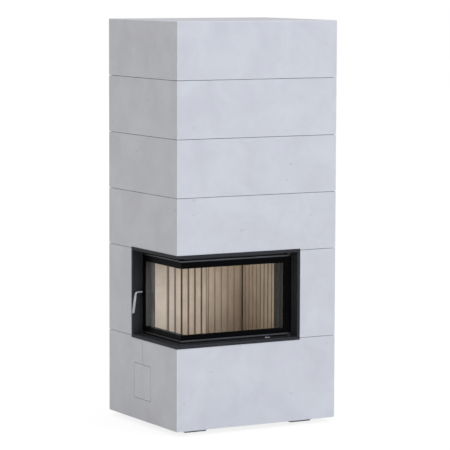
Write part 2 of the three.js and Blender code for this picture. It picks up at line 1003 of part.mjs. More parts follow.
// ---------- flue and heat store ----------
place(
  "firebox_hood",
  cut(
    join(
      block(casingFront, casingRight, casingFront, casingBack, casingTop, storeBase),
      tube(flueBore, flueRadius, collarHeight, [flueX, flueY, casingTop]),
    ),
    rod(flueBore, hoodSheet + 2 * beyond, [flueX, flueY, casingTop - beyond]),
  ),
  castIron,
);
const storePlan = outline([
  [-storeWidth / 2, -storeDepth / 2],
  [storeWidth / 2, -storeDepth / 2],
  [storeWidth / 2, storeDepth / 2],
  [-storeWidth / 2, storeDepth / 2],
]);
for (let tier = 1; tier <= storeCount; tier++) {
  const store = place(
    `store_block_${tier}`,
    cut(
      prism(storePlan, 0, storeHeight, 2 * arris),
      rod(flueRadius + storeBoreRoom, storeHeight + 2 * beyond, [0, 0, -beyond]),
    ),
    storeStone,
  );
  store.position.set(flueX, flueY, storeBase + (tier - 1) * storeHeight);
}

// The smoke collector turns the flue from the heat store's bore to the rear.
const collectorFront = flueY - collectorDepth / 2;
const collectorBack = flueY + collectorDepth / 2;
place(
  "flue_collector",
  cut(
    block(
      flueX - collectorWidth / 2,
      flueX + collectorWidth / 2,
      collectorFront,
      collectorBack,
      storeTop,
      storeTop + collectorHeight,
    ),
    block(
      flueX - collectorWidth / 2 + collectorSheet,
      flueX + collectorWidth / 2 - collectorSheet,
      collectorFront + collectorSheet,
      collectorBack - collectorSheet,
      storeTop + collectorSheet,
      storeTop + collectorHeight - collectorSheet,
    ),
    rod(
      flueBore,
      collectorSheet + 2 * beyond,
      [flueX, flueY, storeTop - beyond],
      [0, 0, 1],
      pipeSegments,
    ),
    rod(
      flueBore,
      collectorSheet + 2 * beyond,
      [flueX, collectorBack - collectorSheet - beyond, flueZ],
      [0, 1, 0],
      pipeSegments,
    ),
  ),
  blackSteel,
);

// A straight pipe with a flange at its start, which runs back into its sleeve in the rear wall
function rearPipe(x, start, z, radius) {
  const length = towerDepth - wall / 2 - start;
  const profile = [
    [radius - pipeSheet, 0],
    [radius + pipeFlange, 0],
    [radius + pipeFlange, pipeFlangeSheet],
    [radius, pipeFlangeSheet],
    [radius, length],
    [radius - pipeSheet, length],
    [radius - pipeSheet, 0],
  ];
  return turned(profile, [x, start, z], [0, 1, 0], pipeSegments);
}
place("flue_pipe", rearPipe(flueX, collectorBack, flueZ, flueRadius), blackSteel);

// A lined sleeve through the rear wall with a flat flange outside, where the next pipe is joined
function wallSleeve(x, z, radius, flangeRadius) {
  const start = cavityBack - sleeveInside;
  const length = towerDepth - start;
  const bore = radius + sleeveSlack;
  const outer = bore + sleeveSheet;
  const profile = [
    [bore, 0],
    [outer, 0],
    [outer, length],
    [flangeRadius, length],
    [flangeRadius, length + wallPlate],
    [bore, length + wallPlate],
    [bore, 0],
  ];
  return turned(profile, [x, start, z], [0, 1, 0], pipeSegments);
}

place("flue_sleeve", wallSleeve(flueX, flueZ, flueRadius, flueRadius + flueFlange), rawSteel);

// ---------- combustion air ----------
const airBoxFront = airY - airBoxDepth / 2;
const shutterTop = casingBottom - shutterRoom;
const leverLow = shutterTop - shutterSheet;
place(
  "air_box",
  cut(
    block(
      airX - airBoxWidth / 2,
      airX + airBoxWidth / 2,
      airBoxFront,
      airBoxFront + airBoxDepth,
      airBoxBottom,
      casingBottom,
    ),
    block(
      airX - airBoxWidth / 2 + boxSheet,
      airX + airBoxWidth / 2 - boxSheet,
      airBoxFront + boxSheet,
      airBoxFront + airBoxDepth - boxSheet,
      airBoxBottom + boxSheet,
      casingBottom + beyond,
    ),
    block(
      leverX - slotHalf,
      leverX + slotHalf,
      airBoxFront - beyond,
      airBoxFront + beyond,
      leverLow - leverThickness - slotRoom,
      casingBottom + beyond,
    ),
    rod(
      airBore,
      boxSheet + 2 * beyond,
      [airX, airBoxFront + airBoxDepth - boxSheet - beyond, airZ],
      [0, 1, 0],
      pipeSegments,
    ),
  ),
  blackSteel,
);
place("air_duct", rearPipe(airX, airBoxFront + airBoxDepth, airZ, airRadius), rawSteel);
place("air_sleeve", wallSleeve(airX, airZ, airRadius, airRadius + airFlange), rawSteel);

// The lever is a flat bar: in under the door, down through the jamb and back under the casing to the air box.
const leverTip = reveal - leverStandOut;
const leverEnd = airBoxFront + leverRun;
const leverProfile = outline([
  [leverTip, leverRise - leverThickness],
  [leverBack, leverRise - leverThickness],
  [leverBack, leverLow - leverThickness],
  [leverEnd, leverLow - leverThickness],
  [leverEnd, leverLow],
  [leverBack + leverThickness, leverLow],
  [leverBack + leverThickness, leverRise],
  [leverTip, leverRise],
]);
place(
  "air_lever",
  join(
    profileAlongX(leverProfile, leverX - leverWidth / 2, leverX + leverWidth / 2),
    rod(
      knobRadius,
      knobLength,
      [leverX - knobLength / 2, leverTip, windowBottom + gap + knobRadius],
      [1, 0, 0],
      knobSegments,
    ),
  ),
  stainless,
);
place(
  "air_shutter",
  block(
    leverX - shutterLeftOf,
    leverX - shutterLeftOf + shutterWidth,
    airBoxFront + shutterInset,
    airBoxFront + shutterInset + shutterDepth,
    leverLow,
    shutterTop,
  ),
  rawSteel,
);

// ---------- door ----------
const paneFront = reveal + lipSheet;
const paneBack = paneFront + paneThickness + 2 * gap;
const paneRight = leafRight - stileFront;
const paneRear = leafRear - stileSide;
const paneBottom = leafBottom + railFloor;
const paneTop = leafTop - railFloor;
const camSlot = block(
  camX - camSlotRoom,
  camX + camThickness + camSlotRoom,
  handleY - camRadius - camSlotRoom,
  leafRear + beyond,
  handleZ - camReach - 2 * camSlotRoom,
  handleZ + camRadius + camSlotRoom,
);
const alongX = [1, 0, 0];
place(
  "door_frame",
  cut(
    cornerStrip(reveal, leafBack, leafRight, leafRear, leafBottom, leafTop),
    cornerStrip(paneFront, paneBack, paneRight, paneRear, paneBottom, paneTop),
    cornerStrip(
      reveal - beyond,
      paneFront + bite,
      paneRight,
      paneRear,
      leafBottom + railLip,
      leafTop - railLip,
    ),
    cornerStrip(
      paneBack - bite,
      leafBack + beyond,
      paneRight - rebate,
      paneRear - rebate,
      leafBottom + railBack,
      leafTop - railBackTop,
    ),
    rod(rodRadius + gap, camX - reveal + 2 * beyond, [reveal - beyond, handleY, handleZ], alongX),
    camSlot,
    rod(pinRadius + gap, pinInLeaf + beyond, [hingeX, hingeY, leafBottom - beyond]),
    rod(pinRadius + gap, pinInLeaf + beyond, [hingeX, hingeY, leafTop - pinInLeaf]),
  ),
  doorSteel,
);
place(
  "glass_front",
  block(
    paneFront + gap,
    paneRight - gap,
    paneFront + gap,
    paneFront + gap + paneThickness,
    paneBottom + gap,
    paneTop - gap,
  ),
  pane,
);
place(
  "glass_side",
  block(
    paneFront + gap,
    paneFront + gap + paneThickness,
    paneFront + 2 * gap + paneThickness,
    paneRear - gap,
    paneBottom + gap,
    paneTop - gap,
  ),
  pane,
);
const sealRight = hingeX - pinRadius - pinRoom;
const sealRear = leafRear - gap;
const sealBottom = leafBottom + sealInset;
const sealTop = leafTop - sealInset;
place(
  "door_seal",
  cut(
    cornerStrip(leafBack + gap, sealBack, sealRight, sealRear, sealBottom, sealTop),
    cornerStrip(
      leafBack - beyond,
      sealBack + beyond,
      sealRight - sealSize,
      sealRear - sealSize,
      sealBottom + sealSize,
      sealTop - sealSize,
    ),
  ),
  ropeSeal,
);
function hingePin(name, z0, z1) {
  place(name, rod(pinRadius, z1 - z0, [hingeX, hingeY, z0], [0, 0, 1], knobSegments), stainless);
}
hingePin("hinge_pin_lower", windowBottom + gap, leafBottom + pinInLeaf - gap);
hingePin("hinge_pin_upper", leafTop - pinInLeaf + gap, windowTop - gap);

// ---------- handle and latch ----------
// The rod leaves the stile level, turns down through its bend and ends inside the grip.
class HandleBend extends THREE.Curve {
  getPoint(t, target = new THREE.Vector3()) {
    const turn = t * (Math.PI / 2 - gripLean);
    return target.set(
      bendX - rodBend * Math.sin(turn),
      handleY,
      handleZ - rodBend * (1 - Math.cos(turn)),
    );
  }
}
const bendX = reveal - handleReach + rodBend;
const bendEnd = new HandleBend().getPoint(1);
const gripAxis = new THREE.Vector3(-Math.sin(gripLean), 0, -Math.cos(gripLean));
const rodPath = new THREE.CurvePath();
rodPath.add(
  new THREE.LineCurve3(
    new THREE.Vector3(camX + camThickness, handleY, handleZ),
    new THREE.Vector3(bendX, handleY, handleZ),
  ),
);
rodPath.add(new HandleBend());
rodPath.add(
  new THREE.LineCurve3(bendEnd, bendEnd.clone().addScaledVector(gripAxis, rodInGrip + rodShown)),
);
place("handle_rod", swept(ringShape(rodRadius, 0), rodPath, rodSteps, knobSegments / 2), stainless);
const gripProfile = [
  [0, rodInGrip + gap],
  [rodRadius + gap, rodInGrip + gap],
  [rodRadius + gap, 0],
  [gripRadiusTop, 0],
  [gripRadiusEnd, gripLength - gripRounding],
  [gripRadiusEnd - gripTip / 3, gripLength - gripRounding / 4],
  [gripRadiusEnd - gripTip, gripLength],
  [0, gripLength],
];
const gripStart = bendEnd.clone().addScaledVector(gripAxis, rodShown);
place("handle_grip", turned(gripProfile, gripStart.toArray(), gripAxis.toArray()), stainless);

const camShape = new THREE.Shape();
camShape.moveTo(handleY, handleZ + camRadius);
camShape.absarc(handleY, handleZ, camRadius, Math.PI / 2, (3 * Math.PI) / 2, false);
camShape.lineTo(handleY + camReach, handleZ - camRadius / 2);
camShape.lineTo(handleY + camReach, handleZ + camRadius / 2);
camShape.closePath();
const camBore = new THREE.Path();
camBore.absarc(handleY, handleZ, rodRadius + gap, 0, 2 * Math.PI, true);
camShape.holes.push(camBore);
place("latch_cam", profileAlongX(camShape, camX, camX + camThickness), rawSteel);

// ---------- onto the floor ----------
stove.position.set(-towerWidth / 2, -towerDepth / 2, footHeight);
const cornerStove = new THREE.Group();
cornerStove.name = "corner_stove";
cornerStove.add(stove);

export default cornerStove;
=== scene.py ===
# Corner stove: a glazed corner insert in a tower of precast concrete courses
import math
import bpy
from mathutils import Matrix, Vector


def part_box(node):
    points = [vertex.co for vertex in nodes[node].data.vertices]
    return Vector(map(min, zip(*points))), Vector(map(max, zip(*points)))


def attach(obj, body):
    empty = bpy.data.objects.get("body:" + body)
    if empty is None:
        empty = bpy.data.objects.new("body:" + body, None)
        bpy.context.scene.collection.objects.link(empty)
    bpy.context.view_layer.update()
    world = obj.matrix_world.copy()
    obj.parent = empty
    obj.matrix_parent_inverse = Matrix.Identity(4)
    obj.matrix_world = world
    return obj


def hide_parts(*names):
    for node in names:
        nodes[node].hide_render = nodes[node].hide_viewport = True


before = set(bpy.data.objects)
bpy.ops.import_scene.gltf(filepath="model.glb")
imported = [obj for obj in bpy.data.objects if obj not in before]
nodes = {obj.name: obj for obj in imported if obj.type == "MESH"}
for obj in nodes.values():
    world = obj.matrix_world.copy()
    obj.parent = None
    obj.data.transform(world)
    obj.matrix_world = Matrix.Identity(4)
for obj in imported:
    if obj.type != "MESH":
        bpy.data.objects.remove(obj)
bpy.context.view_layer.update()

# The tower's front left bottom corner, from which places below are given in millimetres
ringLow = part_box("ring_1_shell")[0]
towerCorner = Vector((ringLow.x, ringLow.y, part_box("base_front_shell")[0].z))


def spot(x, y, z):
    return towerCorner + Vector((x, y, z)) / 1000


def boxInMillimetres(name):
    low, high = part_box(name)
    return (low - towerCorner) * 1000, (high - towerCorner) * 1000


print("frame loaded with", len(nodes), "nodes")

# Camera
cameraSettings = {
    "place": (-6.46128, -11.489, 2.39754),
    "yaw": 0.5137,  # from +Y towards +X
    "pitch": 0.1027,  # downwards
    "roll": 0.00323,
    "lens": 199.25,
    "sensor": 36,
}


def addCamera(settings):
    data = bpy.data.cameras.new("studioCamera")
    data.lens = settings["lens"]
    data.sensor_width = settings["sensor"]
    data.sensor_fit = "HORIZONTAL"
    camera = bpy.data.objects.new("studioCamera", data)
    bpy.context.scene.collection.objects.link(camera)
    heading = Matrix.Rotation(-settings["yaw"], 3, "Z")
    tilt = Matrix.Rotation(math.pi / 2 - settings["pitch"], 3, "X")
    roll = Matrix.Rotation(settings["roll"], 3, "Z")
    camera.rotation_euler = (heading @ tilt @ roll).to_euler()
    camera.location = settings["place"]
    bpy.context.scene.camera = camera


addCamera(cameraSettings)

# Node helpers


def addNode(tree, kind, inputs=None, **settings):
    made = tree.nodes.new("ShaderNode" + kind)
    for key, value in settings.items():
        setattr(made, key, value)
    for key, value in (inputs or {}).items():
        if isinstance(value, bpy.types.NodeSocket):
            tree.links.new(value, made.inputs[key])
        else:
            made.inputs[key].default_value = value
    return made


def newSurface(name):
    material = bpy.data.materials.new(name)
    material.use_nodes = True
    return material, material.node_tree, material.node_tree.nodes["Principled BSDF"]


def colour(red, green, blue):
    # from the 0-255 values of a colour picker to the linear ones that a shader takes
    def linear(value):
        share = value / 255
        return share / 12.92 if share <= 0.04045 else ((share + 0.055) / 1.055) ** 2.4

    return (linear(red), linear(green), linear(blue), 1)


def placeOn(tree, shift=(0, 0, 0), stretch=(1, 1, 1)):
    coords = addNode(tree, "TexCoord").outputs["Object"]
    inputs = {"Vector": coords, "Location": shift, "Scale": stretch}
    return addNode(tree, "Mapping", inputs).outputs["Vector"]


def noise(tree, place, scale, detail=3, roughness=0.55, distortion=0.0):
    inputs = {
        "Vector": place,
        "Scale": scale,
        "Detail": detail,
        "Roughness": roughness,
        "Distortion": distortion,
    }
    return addNode(tree, "TexNoise", inputs).outputs["Fac"]


def cells(tree, place, scale, randomness=1.0):
    inputs = {"Vector": place, "Scale": scale, "Randomness": randomness}
    return addNode(tree, "TexVoronoi", inputs)


def remap(tree, value, low, high, newLow=0.0, newHigh=1.0):
    inputs = {
        "Value": value,
        "From Min": low,
        "From Max": high,
        "To Min": newLow,
        "To Max": newHigh,
    }
    return addNode(tree, "MapRange", inputs).outputs["Result"]


def maths(tree, operation, first, second=0.0, third=0.0):
    made = addNode(tree, "Math", operation=operation)
    for socket, value in zip(made.inputs, (first, second, third)):
        if isinstance(value, bpy.types.NodeSocket):
            tree.links.new(value, socket)
        else:
            socket.default_value = value
    return made.outputs["Value"]


def mixed(tree, factor, first, second, blendType="MIX"):
    made = addNode(tree, "Mix", data_type="RGBA", blend_type=blendType)
    for index, value in ((0, factor), (6, first), (7, second)):
        if isinstance(value, bpy.types.NodeSocket):
            tree.links.new(value, made.inputs[index])
        else:
            made.inputs[index].default_value = value
    return made.outputs[2]


def raised(tree, height, distance, strength=1.0, under=None):
    inputs = {"Height": height, "Distance": distance, "Strength": strength}
    if under is not None:
        inputs["Normal"] = under
    return addNode(tree, "Bump", inputs).outputs["Normal"]


def feed(tree, shader, **sockets):
    names = {"base": "Base Color", "roughness": "Roughness", "normal": "Normal"}
    for key, value in sockets.items():
        tree.links.new(value, shader.inputs[names[key]])


# Concrete
concreteSettings = {
    "tone": (203, 206, 212),
    "darkCloud": (198, 200, 207),
    "lightCloud": (208, 211, 217),
    # pale colour of the painted highlight on the arrises, also used for the paler hairlines
    "arris": (232, 234, 236),
    "pore": (150, 152, 156),
    "arrisWidth": 0.0045,
    "poreScale": 34,  # cells to a metre
    "poreSize": 0.05,  # of a cell
    "cloudScale": 5.2,
    "patchScale": 15,
    "grainScale": 420,
    "markScale": 7.5,  # longer marks, in cells to a metre
    "markShare": 0.3,
    "hairScale": 26,
    "hairShare": 0.22,
    "poreShare": 0.75,
    "arrisShare": 0.5,
}


def edgeMask(tree, low, high, width):
    # mask of the painted arris highlight: 1 on the outer edges of a block's box, 0 from a few
    # millimetres in; broken up a little
    coords = addNode(tree, "TexCoord").outputs["Object"]
    fromLow = addNode(tree, "VectorMath", operation="SUBTRACT")
    toHigh = addNode(tree, "VectorMath", operation="SUBTRACT")
    tree.links.new(coords, fromLow.inputs[0])
    fromLow.inputs[1].default_value = low
    toHigh.inputs[0].default_value = high
    tree.links.new(coords, toHigh.inputs[1])
    nearest = addNode(tree, "VectorMath", operation="MINIMUM")
    tree.links.new(fromLow.outputs[0], nearest.inputs[0])
    tree.links.new(toHigh.outputs[0], nearest.inputs[1])
    parts = addNode(tree, "SeparateXYZ", {"Vector": nearest.outputs[0]}).outputs
    lesser = maths(tree, "MINIMUM", parts[0], parts[1])
    greater = maths(tree, "MAXIMUM", parts[0], parts[1])
    second = maths(tree, "MAXIMUM", lesser, maths(tree, "MINIMUM", greater, parts[2]))
    ragged = noise(tree, coords, 160, 4, 0.7)
    edge = maths(tree, "MULTIPLY_ADD", ragged, width * 1.2, second)
    return remap(tree, edge, width * 0.7, width * 1.7, 1.0, 0.0)


def concreteSurface(name, seed, low, high, settings=concreteSettings):
    material, tree, shader = newSurface(name)
    place = placeOn(tree, (seed * 3.71, seed * 1.93, seed * 5.17))
    clouds = remap(tree, noise(tree, place, settings["cloudScale"], 4, 0.6, 0.4), 0.34, 0.66)
    patches = remap(tree, noise(tree, place, settings["patchScale"], 5, 0.6), 0.35, 0.7)
    grain = noise(tree, place, settings["grainScale"], 3, 0.6)
    tone = mixed(tree, clouds, colour(*settings["darkCloud"]), colour(*settings["lightCloud"]))
    patchy = maths(tree, "MULTIPLY", patches, 0.45)
    tone = mixed(tree, patchy, tone, colour(*settings["tone"]))
    grainTone = remap(tree, grain, 0.3, 0.7, 0.965, 1.035)
    grey = addNode(tree, "CombineColor", {"Red": grainTone, "Green": grainTone, "Blue": grainTone})
    tone = mixed(tree, 1.0, tone, grey.outputs["Color"], "MULTIPLY")

    # pores: only some cells hold one, and no two are the same size
    dots = cells(tree, place, settings["poreScale"])
    pick = addNode(tree, "SeparateColor", {"Color": dots.outputs["Color"]}).outputs
    size = remap(tree, pick[0], 0.62, 1.0, 0.0, settings["poreSize"])
    inside = maths(tree, "SUBTRACT", size, dots.outputs["Distance"])
    pores = remap(tree, inside, 0.0, 0.02)
    # a few longer marks left by air under the mould's face
    bent = placeOn(tree, (seed * 2.3, seed * 4.1, seed), (1, 1, 2.2))
    marks = cells(tree, bent, settings["markScale"])
    markPick = addNode(tree, "SeparateColor", {"Color": marks.outputs["Color"]}).outputs
    wobble = maths(tree, "MULTIPLY_ADD", noise(tree, place, 60, 3), 0.14, -0.07)
    reach = maths(tree, "ADD", marks.outputs["Distance"], wobble)
    markEdge = remap(tree, reach, 0.03, 0.1, 1.0, 0.0)
    someMarks = maths(tree, "GREATER_THAN", markPick[1], 0.35)
    shown = maths(tree, "MULTIPLY", markEdge, someMarks)
    stain = maths(tree, "MULTIPLY", shown, settings["markShare"])
    tone = mixed(tree, stain, tone, colour(*settings["pore"]))
    # short hairlines round other cell centres, some darker and some lighter than the face
    hair = noise(tree, placeOn(tree, (seed * 0.7, seed, seed * 1.9)), settings["hairScale"], 1)
    off = maths(tree, "ABSOLUTE", maths(tree, "SUBTRACT", hair, 0.5))
    line = remap(tree, off, 0.004, 0.014, 1.0, 0.0)
    near = remap(tree, marks.outputs["Distance"], 0.1, 0.17, 1.0, 0.0)
    faint = maths(tree, "MULTIPLY", maths(tree, "MULTIPLY", line, near), settings["hairShare"])
    paler = maths(tree, "GREATER_THAN", markPick[2], 0.55)
    hairTone = mixed(tree, paler, colour(*settings["pore"]), colour(*settings["arris"]))
    tone = mixed(tree, faint, tone, hairTone)
    inPore = maths(tree, "MULTIPLY", pores, settings["poreShare"])
    tone = mixed(tree, inPore, tone, colour(*settings["pore"]))

    # lighter arrises: a painted highlight along the block's edges
    paintedHighlight = edgeMask(tree, low, high, settings["arrisWidth"])
    highlightOnArris = maths(tree, "MULTIPLY", paintedHighlight, settings["arrisShare"])
    tone = mixed(tree, highlightOnArris, tone, colour(*settings["arris"]))

    fine = raised(tree, grain, 0.0004, 0.35)
    waves = raised(tree, patches, 0.0012, 0.25, fine)
    pits = raised(tree, maths(tree, "SUBTRACT", 1.0, pores), 0.0012, 0.8, waves)
    feed(tree, shader, base=tone, roughness=remap(tree, clouds, 0, 1, 0.78, 0.9), normal=pits)
    shader.inputs["Specular IOR Level"].default_value = 0.25
    return material


# each block with the seed that shifts its pattern
concreteNodes = {
    "base_front_shell": 1,
    "base_rear_shell": 2,
    "hearth_right_block": 3,
    "hearth_left_block": 4,
    "hearth_back_panel": 5,
    "ring_1_shell": 6,
    "ring_2_shell": 7,
    "ring_3_shell": 8,
    "ring_4_shell": 9,
    "ring_1_back": 10,
    "ring_2_back": 11,
    "ring_3_back": 12,
    "ring_4_back": 13,
    "top_slab": 14,
    "base_floor": 15,
    "access_cover": 16,
}

# Metals, paints and minerals
paintSettings = {
    # tone, speckle, roughness, shine, bump
    "surroundPaint": ((47, 49, 53), 0.06, 0.55, 0.07, 0.00012),
    "doorPaint": ((5, 5, 6), 0.10, 0.62, 0.02, 0.00010),
    "jambPaint": ((75, 73, 71), 0.08, 0.6, 0.2, 0.00015),
    "casingPaint": ((44, 45, 47), 0.14, 0.6, 0.4, 0.00020),
    "padPlastic": ((136, 139, 142), 0.08, 0.62, 0.4, 0.00020),
}


def paintSurface(name, tone, speckle, roughness, shine, depth):
    material, tree, shader = newSurface(name)
    place = placeOn(tree)
    peel = noise(tree, place, 620, 3, 0.6)
    haze = noise(tree, place, 9, 4, 0.6)
    base = colour(*tone)
    light = tuple(min(1, part * (1 + 3 * speckle) + 0.002) for part in base[:3]) + (1,)
    dark = tuple(part * (1 - 2 * speckle) for part in base[:3]) + (1,)
    level = maths(tree, "MULTIPLY_ADD", peel, 0.5, maths(tree, "MULTIPLY", haze, 0.5))
    tint = mixed(tree, remap(tree, level, 0.35, 0.65), dark, light)
    rough = remap(tree, haze, 0.3, 0.7, roughness - 0.07, roughness + 0.07)
    feed(tree, shader, base=tint, roughness=rough, normal=raised(tree, peel, depth, 0.6))
    shader.inputs["Specular IOR Level"].default_value = shine
    return material


paints = {name: paintSurface(name, *values) for name, values in paintSettings.items()}

metalSettings = {
    # tone, roughness, brushing direction stretch, scratch depth
    "zincPlate": ((150, 153, 157), 0.42, (30, 30, 30), 0.00006),
    "brushedStainless": ((172, 173, 175), 0.28, (260, 260, 12), 0.00004),
    "knobSteel": ((156, 157, 159), 0.34, (260, 12, 260), 0.00004),
    # lighter steel for the rails' bands, which paint the highlight their front faces catch
    "railHighlightSteel": ((70, 71, 73), 0.45, (12, 12, 260), 0.00004),
}


def metalSurface(name, tone, roughness, stretch, depth):
    material, tree, shader = newSurface(name)
    place = placeOn(tree, (0, 0, 0), stretch)
    lines = noise(tree, place, 6, 4, 0.65)
    patina = noise(tree, placeOn(tree), 14, 5, 0.6, 0.3)
    base = colour(*tone)
    dull = tuple(part * 0.8 for part in base[:3]) + (1,)
    tint = mixed(tree, remap(tree, patina, 0.35, 0.65), dull, base)
    rough = remap(tree, lines, 0.25, 0.75, roughness - 0.06, roughness + 0.1)
    feed(tree, shader, base=tint, roughness=rough, normal=raised(tree, lines, depth, 0.5))
    shader.inputs["Metallic"].default_value = 1
    return material


metals = {name: metalSurface(name, *values) for name, values in metalSettings.items()}

castSettings = {"dark": (38, 38, 40), "light": (58, 57, 56)}


def castSurface(settings=castSettings):
    material, tree, shader = newSurface("castIron")
    place = placeOn(tree)
    sand = noise(tree, place, 330, 4, 0.7)
    scale = noise(tree, place, 22, 5, 0.6, 0.4)
    patchy = remap(tree, scale, 0.35, 0.65)
    tint = mixed(tree, patchy, colour(*settings["dark"]), colour(*settings["light"]))
    rough = remap(tree, sand, 0.3, 0.7, 0.6, 0.82)
    feed(tree, shader, base=tint, roughness=rough, normal=raised(tree, sand, 0.0005, 0.7))
    shader.inputs["Specular IOR Level"].default_value = 0.4
    return material


ironSurface = castSurface()

claySettings = {
    "light": (243, 227, 208),
    "dark": (222, 205, 185),
    "speck": (176, 152, 130),
    "streak": (244, 232, 217),
    # colour of the painted shade in the grooves
    "grooveShade": (112, 92, 76),
    # colour of the painted shade towards the bottom of the lining
    "shadeBelowTone": (150, 130, 112),
    "joint": (14, 12, 11),
    "grooveShadeFrom": 0.001,  # depth behind the brick's face where it starts
    "grooveShadeFull": 0.006,
    "grooveShadeEnd": 0.013,
}

# heights between which the painted shade towards the bottom fades
liningHeights = (spot(0, 0, 430).z, spot(0, 0, 790).z)
liningJoints = [
    # x and y from the tower's corner, reach to each side and strength
    # the inside corner of the back and right walls: a dark joint, and painted shade in the corner
    # as well
    (654, 470, 5.6, 0.97),
    (430.5, 470, 2.8, 0.5),
    (202.5, 470, 3.6, 0.8),
]


def claySurface(name, seed, axis, facePlace, grooveShade, shadeBelow, settings=claySettings):
    material, tree, shader = newSurface(name)
    place = placeOn(tree, (seed * 1.7, seed * 2.9, seed * 0.6))
    upright = placeOn(tree, (seed * 0.8, seed * 1.3, 0), (1, 1, 0.12))
    cloud = noise(tree, place, 11, 5, 0.6)
    streaks = noise(tree, upright, 42, 4, 0.6)
    grit = noise(tree, place, 520, 3, 0.65)
    paler = remap(tree, cloud, 0.3, 0.7)
    tint = mixed(tree, paler, colour(*settings["dark"]), colour(*settings["light"]))
    run = maths(tree, "MULTIPLY", remap(tree, streaks, 0.52, 0.75), 0.45)
    tint = mixed(tree, run, tint, colour(*settings["streak"]))
    specks = cells(tree, place, 190)
    inSpeck = remap(tree, specks.outputs["Distance"], 0.08, 0.2, 1, 0)
    tint = mixed(tree, maths(tree, "MULTIPLY", inSpeck, 0.5), tint, colour(*settings["speck"]))
    parts = addNode(tree, "SeparateXYZ", {"Vector": placeOn(tree)}).outputs
    if shadeBelow > 0:
        # painted shade: browner and darker towards the bottom, in upright tongues
        bed, above = liningHeights
        height = maths(tree, "MULTIPLY_ADD", streaks, 0.12, parts[2])
        paintedShadeBelow = remap(tree, height, bed, above, shadeBelow, 0.0)
        tint = mixed(tree, paintedShadeBelow, tint, colour(*settings["shadeBelowTone"]))
    if grooveShade > 0:
        # painted shade in the grooves, behind the ribs' faces
        behind = maths(tree, "SUBTRACT", parts[axis], facePlace)
        start = remap(tree, behind, settings["grooveShadeFrom"], settings["grooveShadeFull"])
        stop = remap(tree, behind, settings["grooveShadeEnd"], settings["grooveShadeEnd"] * 1.4, 1.0, 0.0)
        share = maths(tree, "MULTIPLY", maths(tree, "MULTIPLY", start, stop), grooveShade)
        tint = mixed(tree, share, tint, colour(*settings["grooveShade"]))
    for x, y, reach, share in liningJoints:
        # dark fire cement in the upright joints; at the inside corner, darker and wider, also
        # painted shade in the corner
        joint = spot(x, y, 0)
        acrossX = maths(tree, "ABSOLUTE", maths(tree, "SUBTRACT", parts[0], joint.x))
        acrossY = maths(tree, "ABSOLUTE", maths(tree, "SUBTRACT", parts[1], joint.y))
        away = maths(tree, "MAXIMUM", acrossX, acrossY)
        inJoint = remap(tree, away, reach * 0.0008, reach * 0.0012, share, 0.0)
        tint = mixed(tree, inJoint, tint, colour(*settings["joint"]))
    bump = raised(tree, cloud, 0.001, 0.3, raised(tree, grit, 0.0004, 0.6))
    feed(tree, shader, base=tint, roughness=remap(tree, grit, 0.3, 0.7, 0.82, 0.95), normal=bump)
    shader.inputs["Specular IOR Level"].default_value = 0.15
    return material


storeSettings = {"dark": (132, 124, 115), "light": (174, 166, 156)}
fibreSettings = {"dark": (38, 38, 39), "light": (78, 78, 77), "sheen": 0.25}


def storeSurface(settings=storeSettings):
    material, tree, shader = newSurface("heatStoreStone")
    place = placeOn(tree)
    veins = noise(tree, place, 16, 6, 0.65, 1.2)
    grit = noise(tree, place, 380, 3, 0.6)
    veined = remap(tree, veins, 0.35, 0.65)
    tint = mixed(tree, veined, colour(*settings["dark"]), colour(*settings["light"]))
    feed(tree, shader, base=tint, roughness=remap(tree, grit, 0.3, 0.7, 0.78, 0.95),
         normal=raised(tree, grit, 0.0006, 0.6))
    shader.inputs["Specular IOR Level"].default_value = 0.2
    return material


def ropeSurface(settings=fibreSettings):
    material, tree, shader = newSurface("glassFibreRope")
    place = placeOn(tree)
    fibres = noise(tree, place, 900, 3, 0.7)
    frayed = remap(tree, fibres, 0.3, 0.7)
    tint = mixed(tree, frayed, colour(*settings["dark"]), colour(*settings["light"]))
    feed(tree, shader, base=tint, roughness=remap(tree, fibres, 0.3, 0.7, 0.85, 1.0),
         normal=raised(tree, fibres, 0.0003, 0.8))
    shader.inputs["Sheen Weight"].default_value = settings["sheen"]
    shader.inputs["Specular IOR Level"].default_value = 0.2
    return material


glassSettings = {
    "clear": (253, 253, 252),
    "smear": (255, 255, 254),
    "headOn": 0.006,  # share mirrored when seen straight on
    "grazing": 0.6,  # and what a glancing look adds to it
    "roughness": 0.02,
}


def paneSurface(settings=glassSettings):
    # clear ceramic glass: it passes light of every kind and mirrors a little at its two faces
    material, tree, shader = newSurface("ceramicGlass")
    tree.nodes.remove(shader)
    output = tree.nodes["Material Output"]
    smears = noise(tree, placeOn(tree), 7, 5, 0.6, 0.5)
    through = mixed(tree, remap(tree, smears, 0.3, 0.7), colour(*settings["clear"]),
                    colour(*settings["smear"]))
    clear = addNode(tree, "BsdfTransparent", {"Color": through})
    gloss = addNode(tree, "BsdfGlossy", {"Roughness": settings["roughness"]})
    facing = addNode(tree, "LayerWeight", {"Blend": 0.5}).outputs["Facing"]
    glancing = maths(tree, "POWER", facing, 5.0)
    mirrored = maths(tree, "MULTIPLY_ADD", glancing, settings["grazing"], settings["headOn"])
    mix = addNode(tree, "MixShader", {0: mirrored, 1: clear.outputs[0], 2: gloss.outputs[0]})
    tree.links.new(mix.outputs[0], output.inputs["Surface"])
    return material


printSettings = {"dark": (2, 2, 3), "light": (6, 6, 7)}


def printSurface(settings=printSettings):
    # black ceramic print on the back of the glass
    material, tree, shader = newSurface("blackPrint")
    place = placeOn(tree)
    dots = noise(tree, place, 700, 2, 0.5)
    dotted = remap(tree, dots, 0.3, 0.7)
    tint = mixed(tree, dotted, colour(*settings["dark"]), colour(*settings["light"]))
    feed(tree, shader, base=tint, roughness=remap(tree, dots, 0.3, 0.7, 0.3, 0.4))
    shader.inputs["Specular IOR Level"].default_value = 0.02
    return material


